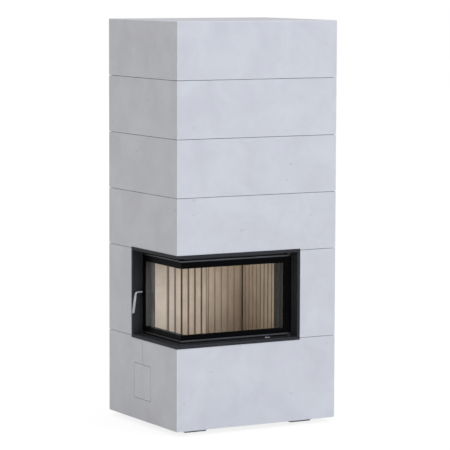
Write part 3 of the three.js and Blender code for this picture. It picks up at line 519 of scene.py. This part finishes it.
storeStone = storeSurface()
ropeFibre = ropeSurface()
paneGlass = paneSurface()
blackPrint = printSurface()
print("materials done")

# Modelling helpers


def activate(piece):
    bpy.ops.object.select_all(action="DESELECT")
    piece.select_set(True)
    bpy.context.view_layer.objects.active = piece


def applyModifier(piece, kind, **settings):
    activate(piece)
    bpy.ops.object.modifier_add(type=kind)
    modifier = piece.modifiers[-1]
    for key, value in settings.items():
        setattr(modifier, key, value)
    bpy.ops.object.modifier_apply(modifier=modifier.name)


def settle(piece, body, slot, materials, *standsFor):
    # place into the mesh, then the finish, the body it rides on and the nodes it stands for
    activate(piece)
    bpy.ops.object.transform_apply(location=True, rotation=True, scale=True)
    piece.data.materials.clear()
    for material in materials:
        piece.data.materials.append(material)
    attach(piece, body)
    if standsFor:
        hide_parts(*standsFor)
    return piece


def mergedCopy(nodeName, pieceName):
    piece = bpy.data.objects.new(pieceName, nodes[nodeName].data.copy())
    bpy.context.scene.collection.objects.link(piece)
    activate(piece)
    if piece.data.has_custom_normals:
        bpy.ops.mesh.customdata_custom_splitnormals_clear()
    bpy.ops.object.mode_set(mode="EDIT")
    bpy.ops.mesh.select_all(action="SELECT")
    bpy.ops.mesh.remove_doubles(threshold=0.00002)
    bpy.ops.mesh.dissolve_limited(angle_limit=math.radians(1))
    bpy.ops.object.mode_set(mode="OBJECT")
    return piece


def softenEdges(piece, width, segments=2, angle=30):
    applyModifier(piece, "BEVEL", width=width, segments=segments, limit_method="ANGLE",
                  angle_limit=math.radians(angle), use_clamp_overlap=True)
    # where two bevels meet at a narrow step, their clamped corners fall on one point
    bpy.ops.object.mode_set(mode="EDIT")
    bpy.ops.mesh.select_all(action="SELECT")
    bpy.ops.mesh.remove_doubles(threshold=0.00001)
    bpy.ops.object.mode_set(mode="OBJECT")


def faces(piece, test):
    return [face for face in piece.data.polygons if test(face.center, face.normal)]


def cutAcross(piece, through, normal):
    # a straight cut through the whole piece that only divides its faces
    activate(piece)
    bpy.ops.object.mode_set(mode="EDIT")
    bpy.ops.mesh.select_all(action="SELECT")
    bpy.ops.mesh.bisect(plane_co=through, plane_no=normal)
    bpy.ops.object.mode_set(mode="OBJECT")


def drawn(pieceName, points):
    # a line from point to point, left selected in edit mode
    bpy.ops.object.select_all(action="DESELECT")
    bpy.ops.mesh.primitive_plane_add(size=0.01, location=(0, 0, 0))
    piece = bpy.context.object
    piece.name = pieceName
    bpy.ops.object.mode_set(mode="EDIT")
    bpy.ops.mesh.select_mode(type="VERT")
    bpy.ops.mesh.select_all(action="SELECT")
    bpy.ops.mesh.merge(type="CENTER")
    bpy.ops.transform.translate(value=points[0])
    for before, after in zip(points, points[1:]):
        bpy.ops.mesh.extrude_vertices_move(TRANSFORM_OT_translate={"value": after - before})
    bpy.ops.mesh.select_all(action="SELECT")
    return piece


def closeShell():
    # seams merged and faces turned outwards, then out of edit mode
    bpy.ops.mesh.select_all(action="SELECT")
    bpy.ops.mesh.remove_doubles(threshold=0.00001)
    bpy.ops.mesh.normals_make_consistent(inside=False)
    bpy.ops.object.mode_set(mode="OBJECT")


def spun(pieceName, profile, at, axis, steps=48, smoothAngle=35):
    # a (radius, height) profile in millimetres, spun round its axis
    piece = drawn(pieceName, [Vector((radius, 0, height)) / 1000 for radius, height in profile])
    bpy.ops.mesh.spin(steps=steps, angle=2 * math.pi, center=(0, 0, 0), axis=(0, 0, 1))
    closeShell()
    turn = Vector((0, 0, 1)).rotation_difference(Vector(axis))
    piece.rotation_mode = "QUATERNION"
    piece.rotation_quaternion = turn
    piece.location = at
    activate(piece)
    bpy.ops.object.transform_apply(location=True, rotation=True, scale=True)
    bpy.ops.object.shade_smooth_by_angle(angle=math.radians(smoothAngle))
    return piece


def copied(pattern, pieceName, place):
    piece = bpy.data.objects.new(pieceName, pattern.data.copy())
    bpy.context.scene.collection.objects.link(piece)
    piece.location = place
    return piece


def edged(nodeName, pieceName, body, slot, material, width, segments=2):
    piece = mergedCopy(nodeName, pieceName)
    softenEdges(piece, width, segments)
    return settle(piece, body, slot, [material], nodeName)


# Concrete courses
arrisSettings = {"width": 0.0008, "segments": 2}


def makeCourse(nodeName, seed, settings):
    # the painted highlight on the arrises follows the tower's sides and the block's own top and
    # bottom
    towerLow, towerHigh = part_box("ring_1_shell")
    blockLow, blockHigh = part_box(nodeName)
    low = (towerLow.x, towerLow.y, blockLow.z)
    high = (towerHigh.x, towerHigh.y, blockHigh.z)
    surface = concreteSurface("concrete_" + nodeName, seed, low, high)
    body = "access_cover" if nodeName == "access_cover" else "tower"
    edged(nodeName, "cast_" + nodeName, body, "concrete", surface, settings["width"],
          settings["segments"])


for name, seed in concreteNodes.items():
    makeCourse(name, seed, arrisSettings)
print("concrete done:", len(concreteNodes), "blocks")

# Surround
surroundSettings = {"edge": 0.0007, "segments": 3}
surround = mergedCopy("surround_frame", "surround_folded")
softenEdges(surround, surroundSettings["edge"], surroundSettings["segments"])
settle(surround, "tower", "surround_steel", [paints["surroundPaint"]], "surround_frame")
print("surround done")

# Door leaf
leafSettings = {
    "edge": 0.0006,
    # the rails' lighter bands are a painted highlight along their front faces
    "stripFrom": 2.5,  # the bright strip on the lower rail, from the leaf's edge
    "topStripFrom": 0.8,
    "stripHeight": 7.5,
    "returnFrom": 6,  # behind the leaf's outer faces, where a stile's inner edge starts
    "rearStileFrom": 400,
    "rightStileFrom": 600,
}
leafLow, leafHigh = boxInMillimetres("door_frame")
leaf = mergedCopy("door_frame", "leaf_welded")
stripLevels = [
    leafLow.z + leafSettings["stripFrom"],
    leafLow.z + leafSettings["stripFrom"] + leafSettings["stripHeight"],
    leafHigh.z - leafSettings["topStripFrom"] - leafSettings["stripHeight"],
    leafHigh.z - leafSettings["topStripFrom"],
]
softenEdges(leaf, leafSettings["edge"])
for level in stripLevels:
    cutAcross(leaf, spot(0, 0, level), (0, 0, 1))
leafFinish = [paints["doorPaint"], metals["railHighlightSteel"], paints["jambPaint"]]
settle(leaf, "door", "door_steel", leafFinish, "door_frame")
frontFace = spot(0, leafLow.y, 0).y
sideFace = spot(leafLow.x, 0, 0).x


def onRailHighlight(centre, normal):
    height = (centre - towerCorner).z * 1000
    lower = stripLevels[0] < height < stripLevels[1]
    upper = stripLevels[2] < height < stripLevels[3]
    outer = normal.y < -0.9 and centre.y < frontFace + 0.001
    outer = outer or (normal.x < -0.9 and centre.x < sideFace + 0.001)
    return (lower or upper) and outer


def onInnerReturn(centre, normal):
    # the stiles' edges behind the panes, which show through the glass
    seen = (centre - towerCorner) * 1000
    inside = leafLow + Vector((1, 1, 1)) * leafSettings["returnFrom"]
    rear = normal.y < -0.7 and seen.y > leafSettings["rearStileFrom"] and seen.x > inside.x
    right = normal.x < -0.7 and seen.x > leafSettings["rightStileFrom"] and seen.y > inside.y
    return rear or right


# painted highlight: lighter steel bands on the rails' outer faces
for face in faces(leaf, onRailHighlight):
    face.material_index = 1
for face in faces(leaf, onInnerReturn):
    face.material_index = 2

# Panes
paneSettings = {
    "bandBottom": 491,  # top of the lower printed band, over the tower's foot
    "bandTop": 837,
    "bandRight": 662,  # from the tower's left face
    "bandRear": 451,  # from the tower's front face
    "cornerBand": 53.3,  # end of the front pane's band at the corner
    "sideStep": 4.3,  # the side pane's one ends this much further back
}


def printedPane(nodeName, pieceName, along, bandEnd, settings):
    # along is 0 for the pane that runs along x and 1 for the one along y
    bottom, top = settings["bandBottom"], settings["bandTop"]
    start = settings["cornerBand"] + along * settings["sideStep"]
    across = (0, 1, 0) if along else (1, 0, 0)
    pane = mergedCopy(nodeName, pieceName)
    for level in (bottom, top):
        cutAcross(pane, spot(0, 0, level), (0, 0, 1))
    for place in (start, bandEnd):
        cutAcross(pane, spot(place, place, 0), across)
    settle(pane, "door", "glass", [paneGlass, blackPrint], nodeName)

    def printed(centre, normal):
        seen = (centre - towerCorner) * 1000
        return not (bottom < seen.z < top and start < seen[along] < bandEnd)

    for face in faces(pane, printed):
        face.material_index = 1


printedPane("glass_front", "pane_front", 0, paneSettings["bandRight"], paneSettings)
printedPane("glass_side", "pane_side", 1, paneSettings["bandRear"], paneSettings)
print("door leaf and panes done")

# Rope seal on the leaf's back
ropeSettings = {
    "strand": 1.35,
    "strands": 4,
    "twist": 1.25,
    "pitch": 15,
    "steps": 9,  # points to a turn
    "corner": 7,
    "thickness": 5.4,
    "inset": 4.0,  # from the CAD seal's outer edges to the rope's middle
}


def ropePath(settings):
    # the loop's corner points
    low, high = boxInMillimetres("door_seal")
    inset = settings["inset"]
    middle = low.x + settings["thickness"] / 2
    right, rear = high.x - inset, high.y - inset
    bottom, top = low.z + inset, high.z - inset
    front = low.y + settings["thickness"] / 2
    return [
        Vector((right, front, bottom)),
        Vector((middle, front, bottom)),
        Vector((middle, rear, bottom)),
        Vector((middle, rear, top)),
        Vector((middle, front, top)),
        Vector((right, front, top)),
    ]


def roundedLoop(points, radius, perCorner=5):
    loop = []
    for index, point in enumerate(points):
        before = (points[index - 1] - point).normalized()
        after = (points[(index + 1) % len(points)] - point).normalized()
        start, end = point + before * radius, point + after * radius
        for step in range(perCorner + 1):
            share = step / perCorner
            loop.append(start.lerp(point, share).lerp(point.lerp(end, share), share))
    return loop


def resampled(loop, spacing):
    # evenly spaced points on the closed loop, and its length
    closed = loop + [loop[0]]
    lengths = [0.0]
    for first, second in zip(closed, closed[1:]):
        lengths.append(lengths[-1] + (second - first).length)
    count = int(lengths[-1] / spacing)
    spots = []
    run = 0
    for index in range(count):
        target = lengths[-1] * index / count
        while lengths[run + 1] < target:
            run += 1
        share = (target - lengths[run]) / (lengths[run + 1] - lengths[run])
        spots.append(closed[run].lerp(closed[run + 1], share))
    return spots, lengths[-1]


def makeRope(settings):
    loop = roundedLoop(ropePath(settings), settings["corner"])
    spots, length = resampled(loop, settings["pitch"] / settings["steps"])
    turns = round(length / settings["pitch"])
    curve = bpy.data.curves.new("seal_rope", "CURVE")
    curve.dimensions = "3D"
    curve.bevel_depth = settings["strand"] / 1000
    curve.bevel_resolution = 1
    for strand in range(settings["strands"]):
        spline = curve.splines.new("POLY")
        spline.points.add(len(spots) - 1)
        for index, place in enumerate(spots):
            ahead = (spots[(index + 1) % len(spots)] - spots[index - 1]).normalized()
            flat = ahead.cross(Vector((0, 0, 1)))
            if flat.length < 0.3:
                flat = ahead.cross(Vector((1, 1, 0)))
            flat.normalize()
            up = flat.cross(ahead)
            angle = 2 * math.pi * (turns * index / len(spots) + strand / settings["strands"])
            offset = flat * math.cos(angle) + up * math.sin(angle)
            at = spot(*(place + offset * settings["twist"]))
            spline.points[index].co = (at.x, at.y, at.z, 1)
        spline.use_cyclic_u = True
    rope = bpy.data.objects.new("seal_rope", curve)
    bpy.context.scene.collection.objects.link(rope)
    activate(rope)
    bpy.ops.object.convert(target="MESH")
    rope = bpy.context.object
    bpy.ops.object.shade_smooth()
    return rope


settle(makeRope(ropeSettings), "door", "rope_seal", [ropeFibre], "door_seal")
print("rope seal done")

# Handle
handleSettings = {
    "rod": 5.0,
    "startFrom": 68.0,  # both from the tower's left face
    "bendFrom": 16.0,
    "bend": 12.0,
    "lean": 0.13,
    "bendSteps": 14,
    "shown": 4.0,  # bare rod between the bend and the grip
    "inGrip": 15,
    "sides": 32,
}
gripSettings = {
    "length": 97.6,
    "bore": 5.3,
    "spare": 1.3,  # depth of the bore under the rod's end
    "neck": 6.5,  # radius at the top, from which the grip widens
    "belly": 7.75,
    "bellyFrom": 8,  # from the grip's end
    "sides": 40,
}


def makeRod(settings):
    # the bent rod, with the place and direction of the grip on its end
    rodLow, rodHigh = boxInMillimetres("handle_rod")
    axisY = (rodLow.y + rodHigh.y) / 2
    axisZ = rodHigh.z - settings["rod"]
    bendX = settings["bendFrom"]
    start = Vector((settings["startFrom"], axisY, axisZ))
    bpy.ops.object.select_all(action="DESELECT")
    bpy.ops.mesh.primitive_circle_add(vertices=settings["sides"], radius=settings["rod"] / 1000,
                                      fill_type="NGON", location=(0, 0, 0))
    rod = bpy.context.object
    rod.name = "handle_bent_rod"
    rod.rotation_euler = (0, math.pi / 2, 0)
    rod.location = spot(*start)
    bpy.ops.object.transform_apply(location=True, rotation=True, scale=True)
    bpy.ops.object.mode_set(mode="EDIT")
    bpy.ops.mesh.select_all(action="SELECT")
    run = Vector((bendX - start.x, 0, 0)) / 1000
    bpy.ops.mesh.extrude_region_move(TRANSFORM_OT_translate={"value": run})
    turn = math.pi / 2 - settings["lean"]
    centre = spot(bendX, axisY, axisZ - settings["bend"])
    steps = settings["bendSteps"]
    bpy.ops.mesh.spin(steps=steps, angle=turn, center=centre, axis=(0, 1, 0))
    down = Vector((-math.sin(settings["lean"]), 0, -math.cos(settings["lean"])))
    tail = down * (settings["shown"] + settings["inGrip"]) / 1000
    bpy.ops.mesh.extrude_region_move(TRANSFORM_OT_translate={"value": tail})
    closeShell()
    bpy.ops.object.shade_smooth_by_angle(angle=math.radians(40))
    bendEnd = spot(
        bendX - settings["bend"] * math.sin(turn),
        axisY,
        axisZ - settings["bend"] * (1 - math.cos(turn)),
    )
    settle(rod, "handle", "stainless", [metals["brushedStainless"]], "handle_rod")
    return bendEnd + down * settings["shown"] / 1000, down


def makeGrip(at, down, inGrip, settings):
    end, bore = settings["length"], settings["bore"]
    neck, belly = settings["neck"], settings["belly"]
    bottom = inGrip + settings["spare"]
    profile = [
        (0, bottom),
        (bore, bottom),
        (bore, 0.6),
        (bore + 0.4, 0),
        (neck - 0.3, 0),
        (neck, 0.3),
        (belly, end - settings["bellyFrom"]),
        (belly - 0.15, end - 5),
        (belly - 0.45, end - 2.6),
        (belly - 1.25, end - 1.3),
        (belly - 2.75, end - 0.5),
        (0, end - 0.5),
    ]
    grip = spun("handle_turned_grip", profile, at, down, settings["sides"])
    settle(grip, "handle", "stainless", [metals["brushedStainless"]], "handle_grip")


gripPlace, gripDirection = makeRod(handleSettings)
makeGrip(gripPlace, gripDirection, handleSettings["inGrip"], gripSettings)

bushSettings = {"bore": 5.3, "radius": 7.6, "length": 8.0, "lip": 0.8, "sides": 32}


def makeBush(settings):
    # the black bush that the rod turns in, on the side stile's face
    rodLow, rodHigh = boxInMillimetres("handle_rod")
    radius, length, lip = settings["radius"], settings["length"], settings["lip"]
    profile = [
        (settings["bore"], 0),
        (radius, 0),
        (radius, length - lip),
        (radius - lip, length),
        (settings["bore"], length),
        (settings["bore"], 0),
    ]
    at = spot(leafLow.x, (rodLow.y + rodHigh.y) / 2, rodHigh.z - handleSettings["rod"])
    bush = spun("handle_bush", profile, at, (-1, 0, 0), settings["sides"])
    settle(bush, "door", "door_steel", [paints["doorPaint"]])


makeBush(bushSettings)
edged("latch_cam", "cam_ground", "handle", "zinc_steel", metals["zincPlate"], 0.0005)
print("handle done")

# Firebox lining
brickPieces = [
    # node, piece, seed, axis across its face, painted shade in the grooves, painted shade towards
    # the bottom
    ("lining_back_plain", "brick_back_plain", 1, 1, 0.1, 0.0),
    ("lining_back_left", "brick_back_left", 2, 1, 0.75, 0.1),
    ("lining_back_right", "brick_back_right", 3, 1, 0.1, 0.62),
    ("lining_right_rear", "brick_right_rear", 4, 0, 0.6, 0.6),
    ("lining_right_front", "brick_right_front", 5, 0, 1.0, 0.2),
    ("hearth_floor", "hearth_slab", 6, 2, 0.0, 0.0),
    ("baffle_plate", "baffle_slab", 7, 2, 0.0, 0.0),
]
brickEdge = 0.0012
jointSettings = {
    # chamfer of a brick's upright front edge, by the end that it is on
    "brick_back_plain": {"high": 9.0},
    "brick_back_left": {"low": 8.0, "high": 2.6},
    "brick_back_right": {"low": 2.6},
}


def chamferEnd(piece, atHigh, width):
    # bevels the upright edge at one end of a back brick's face
    # the places are copied, because going through edit mode frees the mesh's own
    points = [vertex.co.copy() for vertex in piece.data.vertices]
    end = (max if atHigh else min)(point.x for point in points)
    face = min(point.y for point in points)
    activate(piece)
    bpy.ops.object.mode_set(mode="EDIT")
    bpy.ops.mesh.select_mode(type="EDGE")
    bpy.ops.mesh.select_all(action="DESELECT")
    bpy.ops.object.mode_set(mode="OBJECT")
    for edge in piece.data.edges:
        ends = [points[index] for index in edge.vertices]
        onEdge = all(abs(point.x - end) < 0.0001 and abs(point.y - face) < 0.0001 for point in ends)
        edge.select = onEdge
    bpy.ops.object.mode_set(mode="EDIT")
    bpy.ops.mesh.bevel(offset=width / 1000, segments=1, affect="EDGES")
    bpy.ops.object.mode_set(mode="OBJECT")


def makeBrick(nodeName, pieceName, seed, axis, grooveShade, shadeBelow):
    brick = mergedCopy(nodeName, pieceName)
    for end, width in jointSettings.get(pieceName, {}).items():
        chamferEnd(brick, end == "high", width)
    softenEdges(brick, brickEdge)
    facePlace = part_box(nodeName)[0][axis]
    surface = claySurface("fireclay_" + pieceName, seed, axis, facePlace, grooveShade, shadeBelow)
    settle(brick, "tower", "fireclay", [surface], nodeName)


for values in brickPieces:
    makeBrick(*values)
edged("lining_post", "lining_post_steel", "tower", "jamb_steel", paints["jambPaint"], 0.0006)
print("lining done")

# Steel parts that keep their CAD shape with eased edges
steelPieces = [
    ("door_jamb", "jamb_welded", "tower", "jamb_steel", paints["jambPaint"], 0.0006),
    ("hinge_bracket_lower", "hinge_lug_lower", "tower", "jamb_steel", paints["jambPaint"], 0.0006),
    ("hinge_bracket_upper", "hinge_lug_upper", "tower", "jamb_steel", paints["jambPaint"], 0.0006),
    ("latch_keeper", "keeper_ground", "tower", "zinc_steel", metals["zincPlate"], 0.0005),
    ("lintel_angle", "lintel_rolled", "tower", "zinc_steel", metals["zincPlate"], 0.0008),
    ("access_frame", "access_pressed", "tower", "zinc_steel", metals["zincPlate"], 0.0005),
    ("air_shutter", "shutter_cut", "air_control", "zinc_steel", metals["zincPlate"], 0.0004),
]
for nodeName, pieceName, body, slot, material, width in steelPieces:
    edged(nodeName, pieceName, body, slot, material, width)

boxPieces = [
    ("firebox_casing", "casing_welded", "casing_steel", paints["casingPaint"], 0.0010),
    ("air_box", "air_box_folded", "casing_steel", paints["casingPaint"], 0.0006),
    ("flue_collector", "collector_welded", "casing_steel", paints["casingPaint"], 0.0010),
    ("firebox_hood", "hood_cast", "cast_hood", ironSurface, 0.0020),
    ("store_block_1", "store_stone_1", "store_stone", storeStone, 0.0020),
    ("store_block_2", "store_stone_2", "store_stone", storeStone, 0.0020),
]
for nodeName, pieceName, slot, material, width in boxPieces:
    edged(nodeName, pieceName, "tower", slot, material, width)
print("steel boxes and heat store done")

# Pipes and sleeves that lead out at the rear
pipeSettings = {
    "sides": 64,
    "wall": 2.0,
    "flange": 12,
    "flangeSheet": 3,
    "lip": 0.7,
    "weld": 2,
    "swageFrom": 12,  # from the pipe's end
    "swageRun": 3,
    "swage": 0.4,
}
sleeveSettings = {
    "sides": 64,
    "bores": {"flue_sleeve": 91.5, "air_sleeve": 64},
    "wall": 3.0,
    "plate": 2.0,
    "lip": 0.6,
    "mouth": [(2.2, 0), (0.7, -0.4), (0, -1.2)],  # rounding, from the bore and the face
    "screwRise": 0.7,
}


def pipeAxis(nodeName):
    # x of the axis, y of the front end, z of the axis, length and outer radius
    low, high = boxInMillimetres(nodeName)
    return (low.x + high.x) / 2, low.y, (low.z + high.z) / 2, high.y - low.y, (high.z - low.z) / 2


def makePipe(nodeName, pieceName, slot, material, settings=pipeSettings):
    x, start, z, length, outside = pipeAxis(nodeName)
    radius = outside - settings["flange"]
    lip = settings["lip"]
    flangeSheet, weld = settings["flangeSheet"], settings["weld"]
    inner = radius - settings["wall"]
    swaged = radius - settings["swage"]
    swageFrom = length - settings["swageFrom"]
    profile = [
        (inner, 0),
        (outside - lip, 0),
        (outside, lip),
        (outside, flangeSheet - lip),
        (outside - lip, flangeSheet),
        (radius + weld, flangeSheet),
        (radius, flangeSheet + weld),
        (radius, swageFrom),
        (swaged, swageFrom + settings["swageRun"]),
        (swaged, length),
        (inner, length),
        (inner, 0),
    ]
    piece = spun(pieceName, profile, spot(x, start, z), (0, 1, 0), settings["sides"])
    settle(piece, "tower", slot, [material], nodeName)


def makeSleeve(nodeName, pieceName, settings=sleeveSettings):
    x, start, z, length, flange = pipeAxis(nodeName)
    bore = settings["bores"][nodeName]
    lip = settings["lip"]
    outer = bore + settings["wall"]
    plateFrom = length - settings["plate"]
    face = length - settings["screwRise"]
    mouth = [(bore + out, face + back) for out, back in settings["mouth"]]
    profile = [
        (bore, 0),
        (outer, 0),
        (outer, plateFrom),
        (flange, plateFrom),
        (flange, face - lip),
        (flange - lip, face),
        *mouth,
        (bore, 0),
    ]
    piece = spun(pieceName, profile, spot(x, start, z), (0, 1, 0), settings["sides"])
    settle(piece, "tower", "zinc_steel", [metals["zincPlate"]], nodeName)


makePipe("flue_pipe", "flue_pipe_rolled", "casing_steel", paints["casingPaint"])
makePipe("air_duct", "air_duct_rolled", "zinc_steel", metals["zincPlate"])
makeSleeve("flue_sleeve", "flue_sleeve_pressed")
makeSleeve("air_sleeve", "air_sleeve_pressed")

screwSettings = {
    "head": 5.0,
    "socket": 1.9,
    "sunk": 0.3,  # into the flange
    "spare": 0.02,  # left free between a head and the end of the CAD box
    "count": 4,
    "fromEdge": 10.0,
    "sides": 24,
}


def makeScrews(nodeName, settings):
    # low screw heads on a sleeve's flange, all copies of one
    x, start, z, length, flange = pipeAxis(nodeName)
    rise = sleeveSettings["screwRise"] - settings["spare"]
    face = start + length - sleeveSettings["screwRise"]
    reach = flange - settings["fromEdge"]
    head, socket, sunk = settings["head"], settings["socket"], settings["sunk"]
    profile = [
        (0, -sunk),
        (head - 0.4, -sunk),
        (head, 0),
        (head - 0.2, rise * 0.5),
        (head - 1.0, rise),
        (socket + 0.1, rise),
        (socket, rise - 0.1),
        (socket - 0.2, 0.1),
        (0, 0.1),
    ]
    pattern = spun(nodeName + "_screw", profile, (0, 0, 0), (0, 1, 0), settings["sides"])
    for index in range(settings["count"]):
        angle = math.pi * (0.25 + 2 * index / settings["count"])
        across, up = reach * math.cos(angle), reach * math.sin(angle)
        pieceName = nodeName + "_screw_" + str(index + 1)
        screw = copied(pattern, pieceName, spot(x + across, face, z + up))
        settle(screw, "tower", "stainless", [metals["brushedStainless"]])
    bpy.data.objects.remove(pattern)


makeScrews("flue_sleeve", screwSettings)
makeScrews("air_sleeve", screwSettings)
print("pipes and sleeves done")

# Legs, pins and lever
legProfile = [  # foot, threaded stem with its nut, start of the tube
    (0, 0),
    (31.2, 0),
    (32, 0.8),
    (32, 3.2),
    (31, 4),
    (8, 12),
    (8, 60),
    (14.2, 60),
    (15, 60.8),
    (15, 71.2),
    (14.2, 72),
    (8, 72),
    (8, 84),
    (16.2, 84),
    (17, 84.8),
]
legHeadSettings = {"radius": 30, "plate": 5, "lip": 1, "sides": 32}


def makeLegs(profile, settings):
    low, high = boxInMillimetres("leg_front_left")
    height = high.z - low.z
    tube, radius, lip = profile[-1][0], settings["radius"], settings["lip"]
    under = height - settings["plate"]
    head = [
        (tube, under),
        (radius - lip, under),
        (radius, under + lip),
        (radius, height),
        (0, height),
    ]
    pattern = spun("leg_pattern", profile + head, (0, 0, 0), (0, 0, 1), settings["sides"])
    for corner in ("front_left", "front_right", "rear_left", "rear_right"):
        low, high = boxInMillimetres("leg_" + corner)
        place = spot((low.x + high.x) / 2, (low.y + high.y) / 2, low.z)
        leg = copied(pattern, "turned_leg_" + corner, place)
        settle(leg, "tower", "zinc_steel", [metals["zincPlate"]], "leg_" + corner)
    bpy.data.objects.remove(pattern)


makeLegs(legProfile, legHeadSettings)

pinSettings = {"radius": 5, "chamfer": 0.7, "sides": 32}


def makePin(nodeName, pieceName, settings):
    low, high = boxInMillimetres(nodeName)
    height = high.z - low.z
    radius, chamfer = settings["radius"], settings["chamfer"]
    profile = [
        (0, 0),
        (radius - chamfer, 0),
        (radius, chamfer),
        (radius, height - chamfer),
        (radius - chamfer, height),
        (0, height),
    ]
    at = spot((low.x + high.x) / 2, (low.y + high.y) / 2, low.z)
    pin = spun(pieceName, profile, at, (0, 0, 1), settings["sides"])
    settle(pin, "door", "stainless", [metals["brushedStainless"]], nodeName)


makePin("hinge_pin_lower", "pin_turned_lower", pinSettings)
makePin("hinge_pin_upper", "pin_turned_upper", pinSettings)

leverSettings = {
    "knobRadius": 3.0,
    "knobLength": 31,
    "knobEnd": [(1.0, 0), (0.3, 0.4), (0, 1.2)],  # rounding, inwards and along
    "knobSides": 32,
    "knobUnder": 3.8,  # from the lever's top to the knob's middle
    "sheet": 4.0,
    "halfWidth": 7.0,
    "tip": 30.0,  # from the tower's front
    "back": 60.0,  # upright part
    "top": 452.0,
    "edge": 0.0006,
}


def outlined(pieceName, corners, start, width):
    # a (y, z) outline in millimetres, filled and extruded along x
    piece = drawn(pieceName, [spot(start, y, z) for y, z in corners])
    bpy.ops.mesh.edge_face_add()
    bpy.ops.mesh.extrude_region_move(TRANSFORM_OT_translate={"value": Vector((width / 1000, 0, 0))})
    closeShell()
    return piece


def makeLever(settings):
    low, high = boxInMillimetres("air_lever")
    middle = (low.x + high.x) / 2
    sheet, tip, back, top = settings["sheet"], settings["tip"], settings["back"], settings["top"]
    corners = [
        (tip, top - sheet),
        (back, top - sheet),
        (back, low.z),
        (high.y, low.z),
        (high.y, low.z + sheet),
        (back + sheet, low.z + sheet),
        (back + sheet, top),
        (tip, top),
    ]
    bar = outlined("lever_bar", corners, middle - settings["halfWidth"], 2 * settings["halfWidth"])
    softenEdges(bar, settings["edge"])
    settle(bar, "air_control", "stainless", [metals["knobSteel"]], "air_lever")
    radius, length, end = settings["knobRadius"], settings["knobLength"], settings["knobEnd"]
    left = [(radius - inwards, along) for inwards, along in end]
    right = [(radius - inwards, length - along) for inwards, along in reversed(end)]
    profile = [(0, 0), *left, *right, (0, length)]
    at = spot(middle - length / 2, tip, high.z - settings["knobUnder"])
    knob = spun("lever_knob", profile, at, (1, 0, 0), settings["knobSides"])
    settle(knob, "air_control", "stainless", [metals["knobSteel"]])


makeLever(leverSettings)
print("legs, pins and lever done")

# Feet
footSettings = {"edge": 0.003, "segments": 3, "angle": 50}
for name in ("foot_front_left", "foot_front_right", "foot_rear_left", "foot_rear_right"):
    foot = mergedCopy(name, name.replace("foot", "pad"))
    softenEdges(foot, footSettings["edge"], footSettings["segments"], footSettings["angle"])
    settle(foot, "tower", "foot_pad", [paints["padPlastic"]], name)
print("feet done")

# Studio
studioSettings = {
    "skyLight": (0.622, 0.602, 0.582),  # light that the surroundings throw on the object
    "floorTone": 0.22,  # as the camera sees the floor
    "floorGlow": 0.84,
    "floorBounce": 0.85,  # as it lights the object
    "floorSize": 60,
    "lamps": [
        # name, tone, strength, where from, degrees across
        ("frontLight", (0.815, 0.87, 1.0), 1.53, (0.33, -0.93, 0.12), 40),
        ("topLight", (0.95, 0.97, 1.0), 0.66, (0.05, -0.1, 1.0), 60),
    ],
}


def seenDirectly(tree):
    # 1 for the camera and for what metal and glass show, 0 for light on its way to the object
    path = addNode(tree, "LightPath").outputs
    first = maths(tree, "MAXIMUM", path["Is Camera Ray"], path["Is Glossy Ray"])
    return maths(tree, "MAXIMUM", first, path["Is Transmission Ray"])


def addStudio(settings):
    world = bpy.data.worlds.new("studioSky")
    bpy.context.scene.world = world
    world.use_nodes = True
    tree = world.node_tree
    tree.nodes.clear()
    tone = tuple(settings["skyLight"]) + (1,)
    light = addNode(tree, "Background", {"Color": tone, "Strength": 1.0})
    white = addNode(tree, "Background", {"Color": (1, 1, 1, 1), "Strength": 1.0})
    seen = seenDirectly(tree)
    pick = addNode(tree, "MixShader", {0: seen, 1: light.outputs[0], 2: white.outputs[0]})
    output = addNode(tree, "OutputWorld")
    tree.links.new(pick.outputs[0], output.inputs["Surface"])

    for name, tone, strength, fromWhere, softness in settings["lamps"]:
        data = bpy.data.lights.new(name, "SUN")
        data.energy = strength
        data.color = tone
        data.angle = math.radians(softness)
        lamp = bpy.data.objects.new(name, data)
        lamp.rotation_euler = Vector(fromWhere).to_track_quat("Z", "Y").to_euler()
        bpy.context.scene.collection.objects.link(lamp)

    bpy.ops.object.select_all(action="DESELECT")
    bpy.ops.mesh.primitive_plane_add(size=settings["floorSize"], location=(0, 0, 0))
    floor = bpy.context.object
    floor.name = "studio_floor"
    material, tree, shader = newSurface("paleFloor")
    tree.nodes.remove(shader)
    level, bounce = settings["floorTone"], settings["floorBounce"]
    matt = addNode(tree, "BsdfDiffuse", {"Color": (level, level, level, 1)})
    glow = addNode(tree, "Emission", {"Strength": settings["floorGlow"]})
    total = addNode(tree, "AddShader", {0: matt.outputs[0], 1: glow.outputs[0]})
    plain = addNode(tree, "BsdfDiffuse", {"Color": (bounce, bounce, bounce, 1)})
    seen = seenDirectly(tree)
    chosen = addNode(tree, "MixShader", {0: seen, 1: plain.outputs[0], 2: total.outputs[0]})
    tree.links.new(chosen.outputs[0], tree.nodes["Material Output"].inputs["Surface"])
    floor.data.materials.append(material)
    bpy.context.scene.view_settings.view_transform = "Standard"


addStudio(studioSettings)
print("studio done")
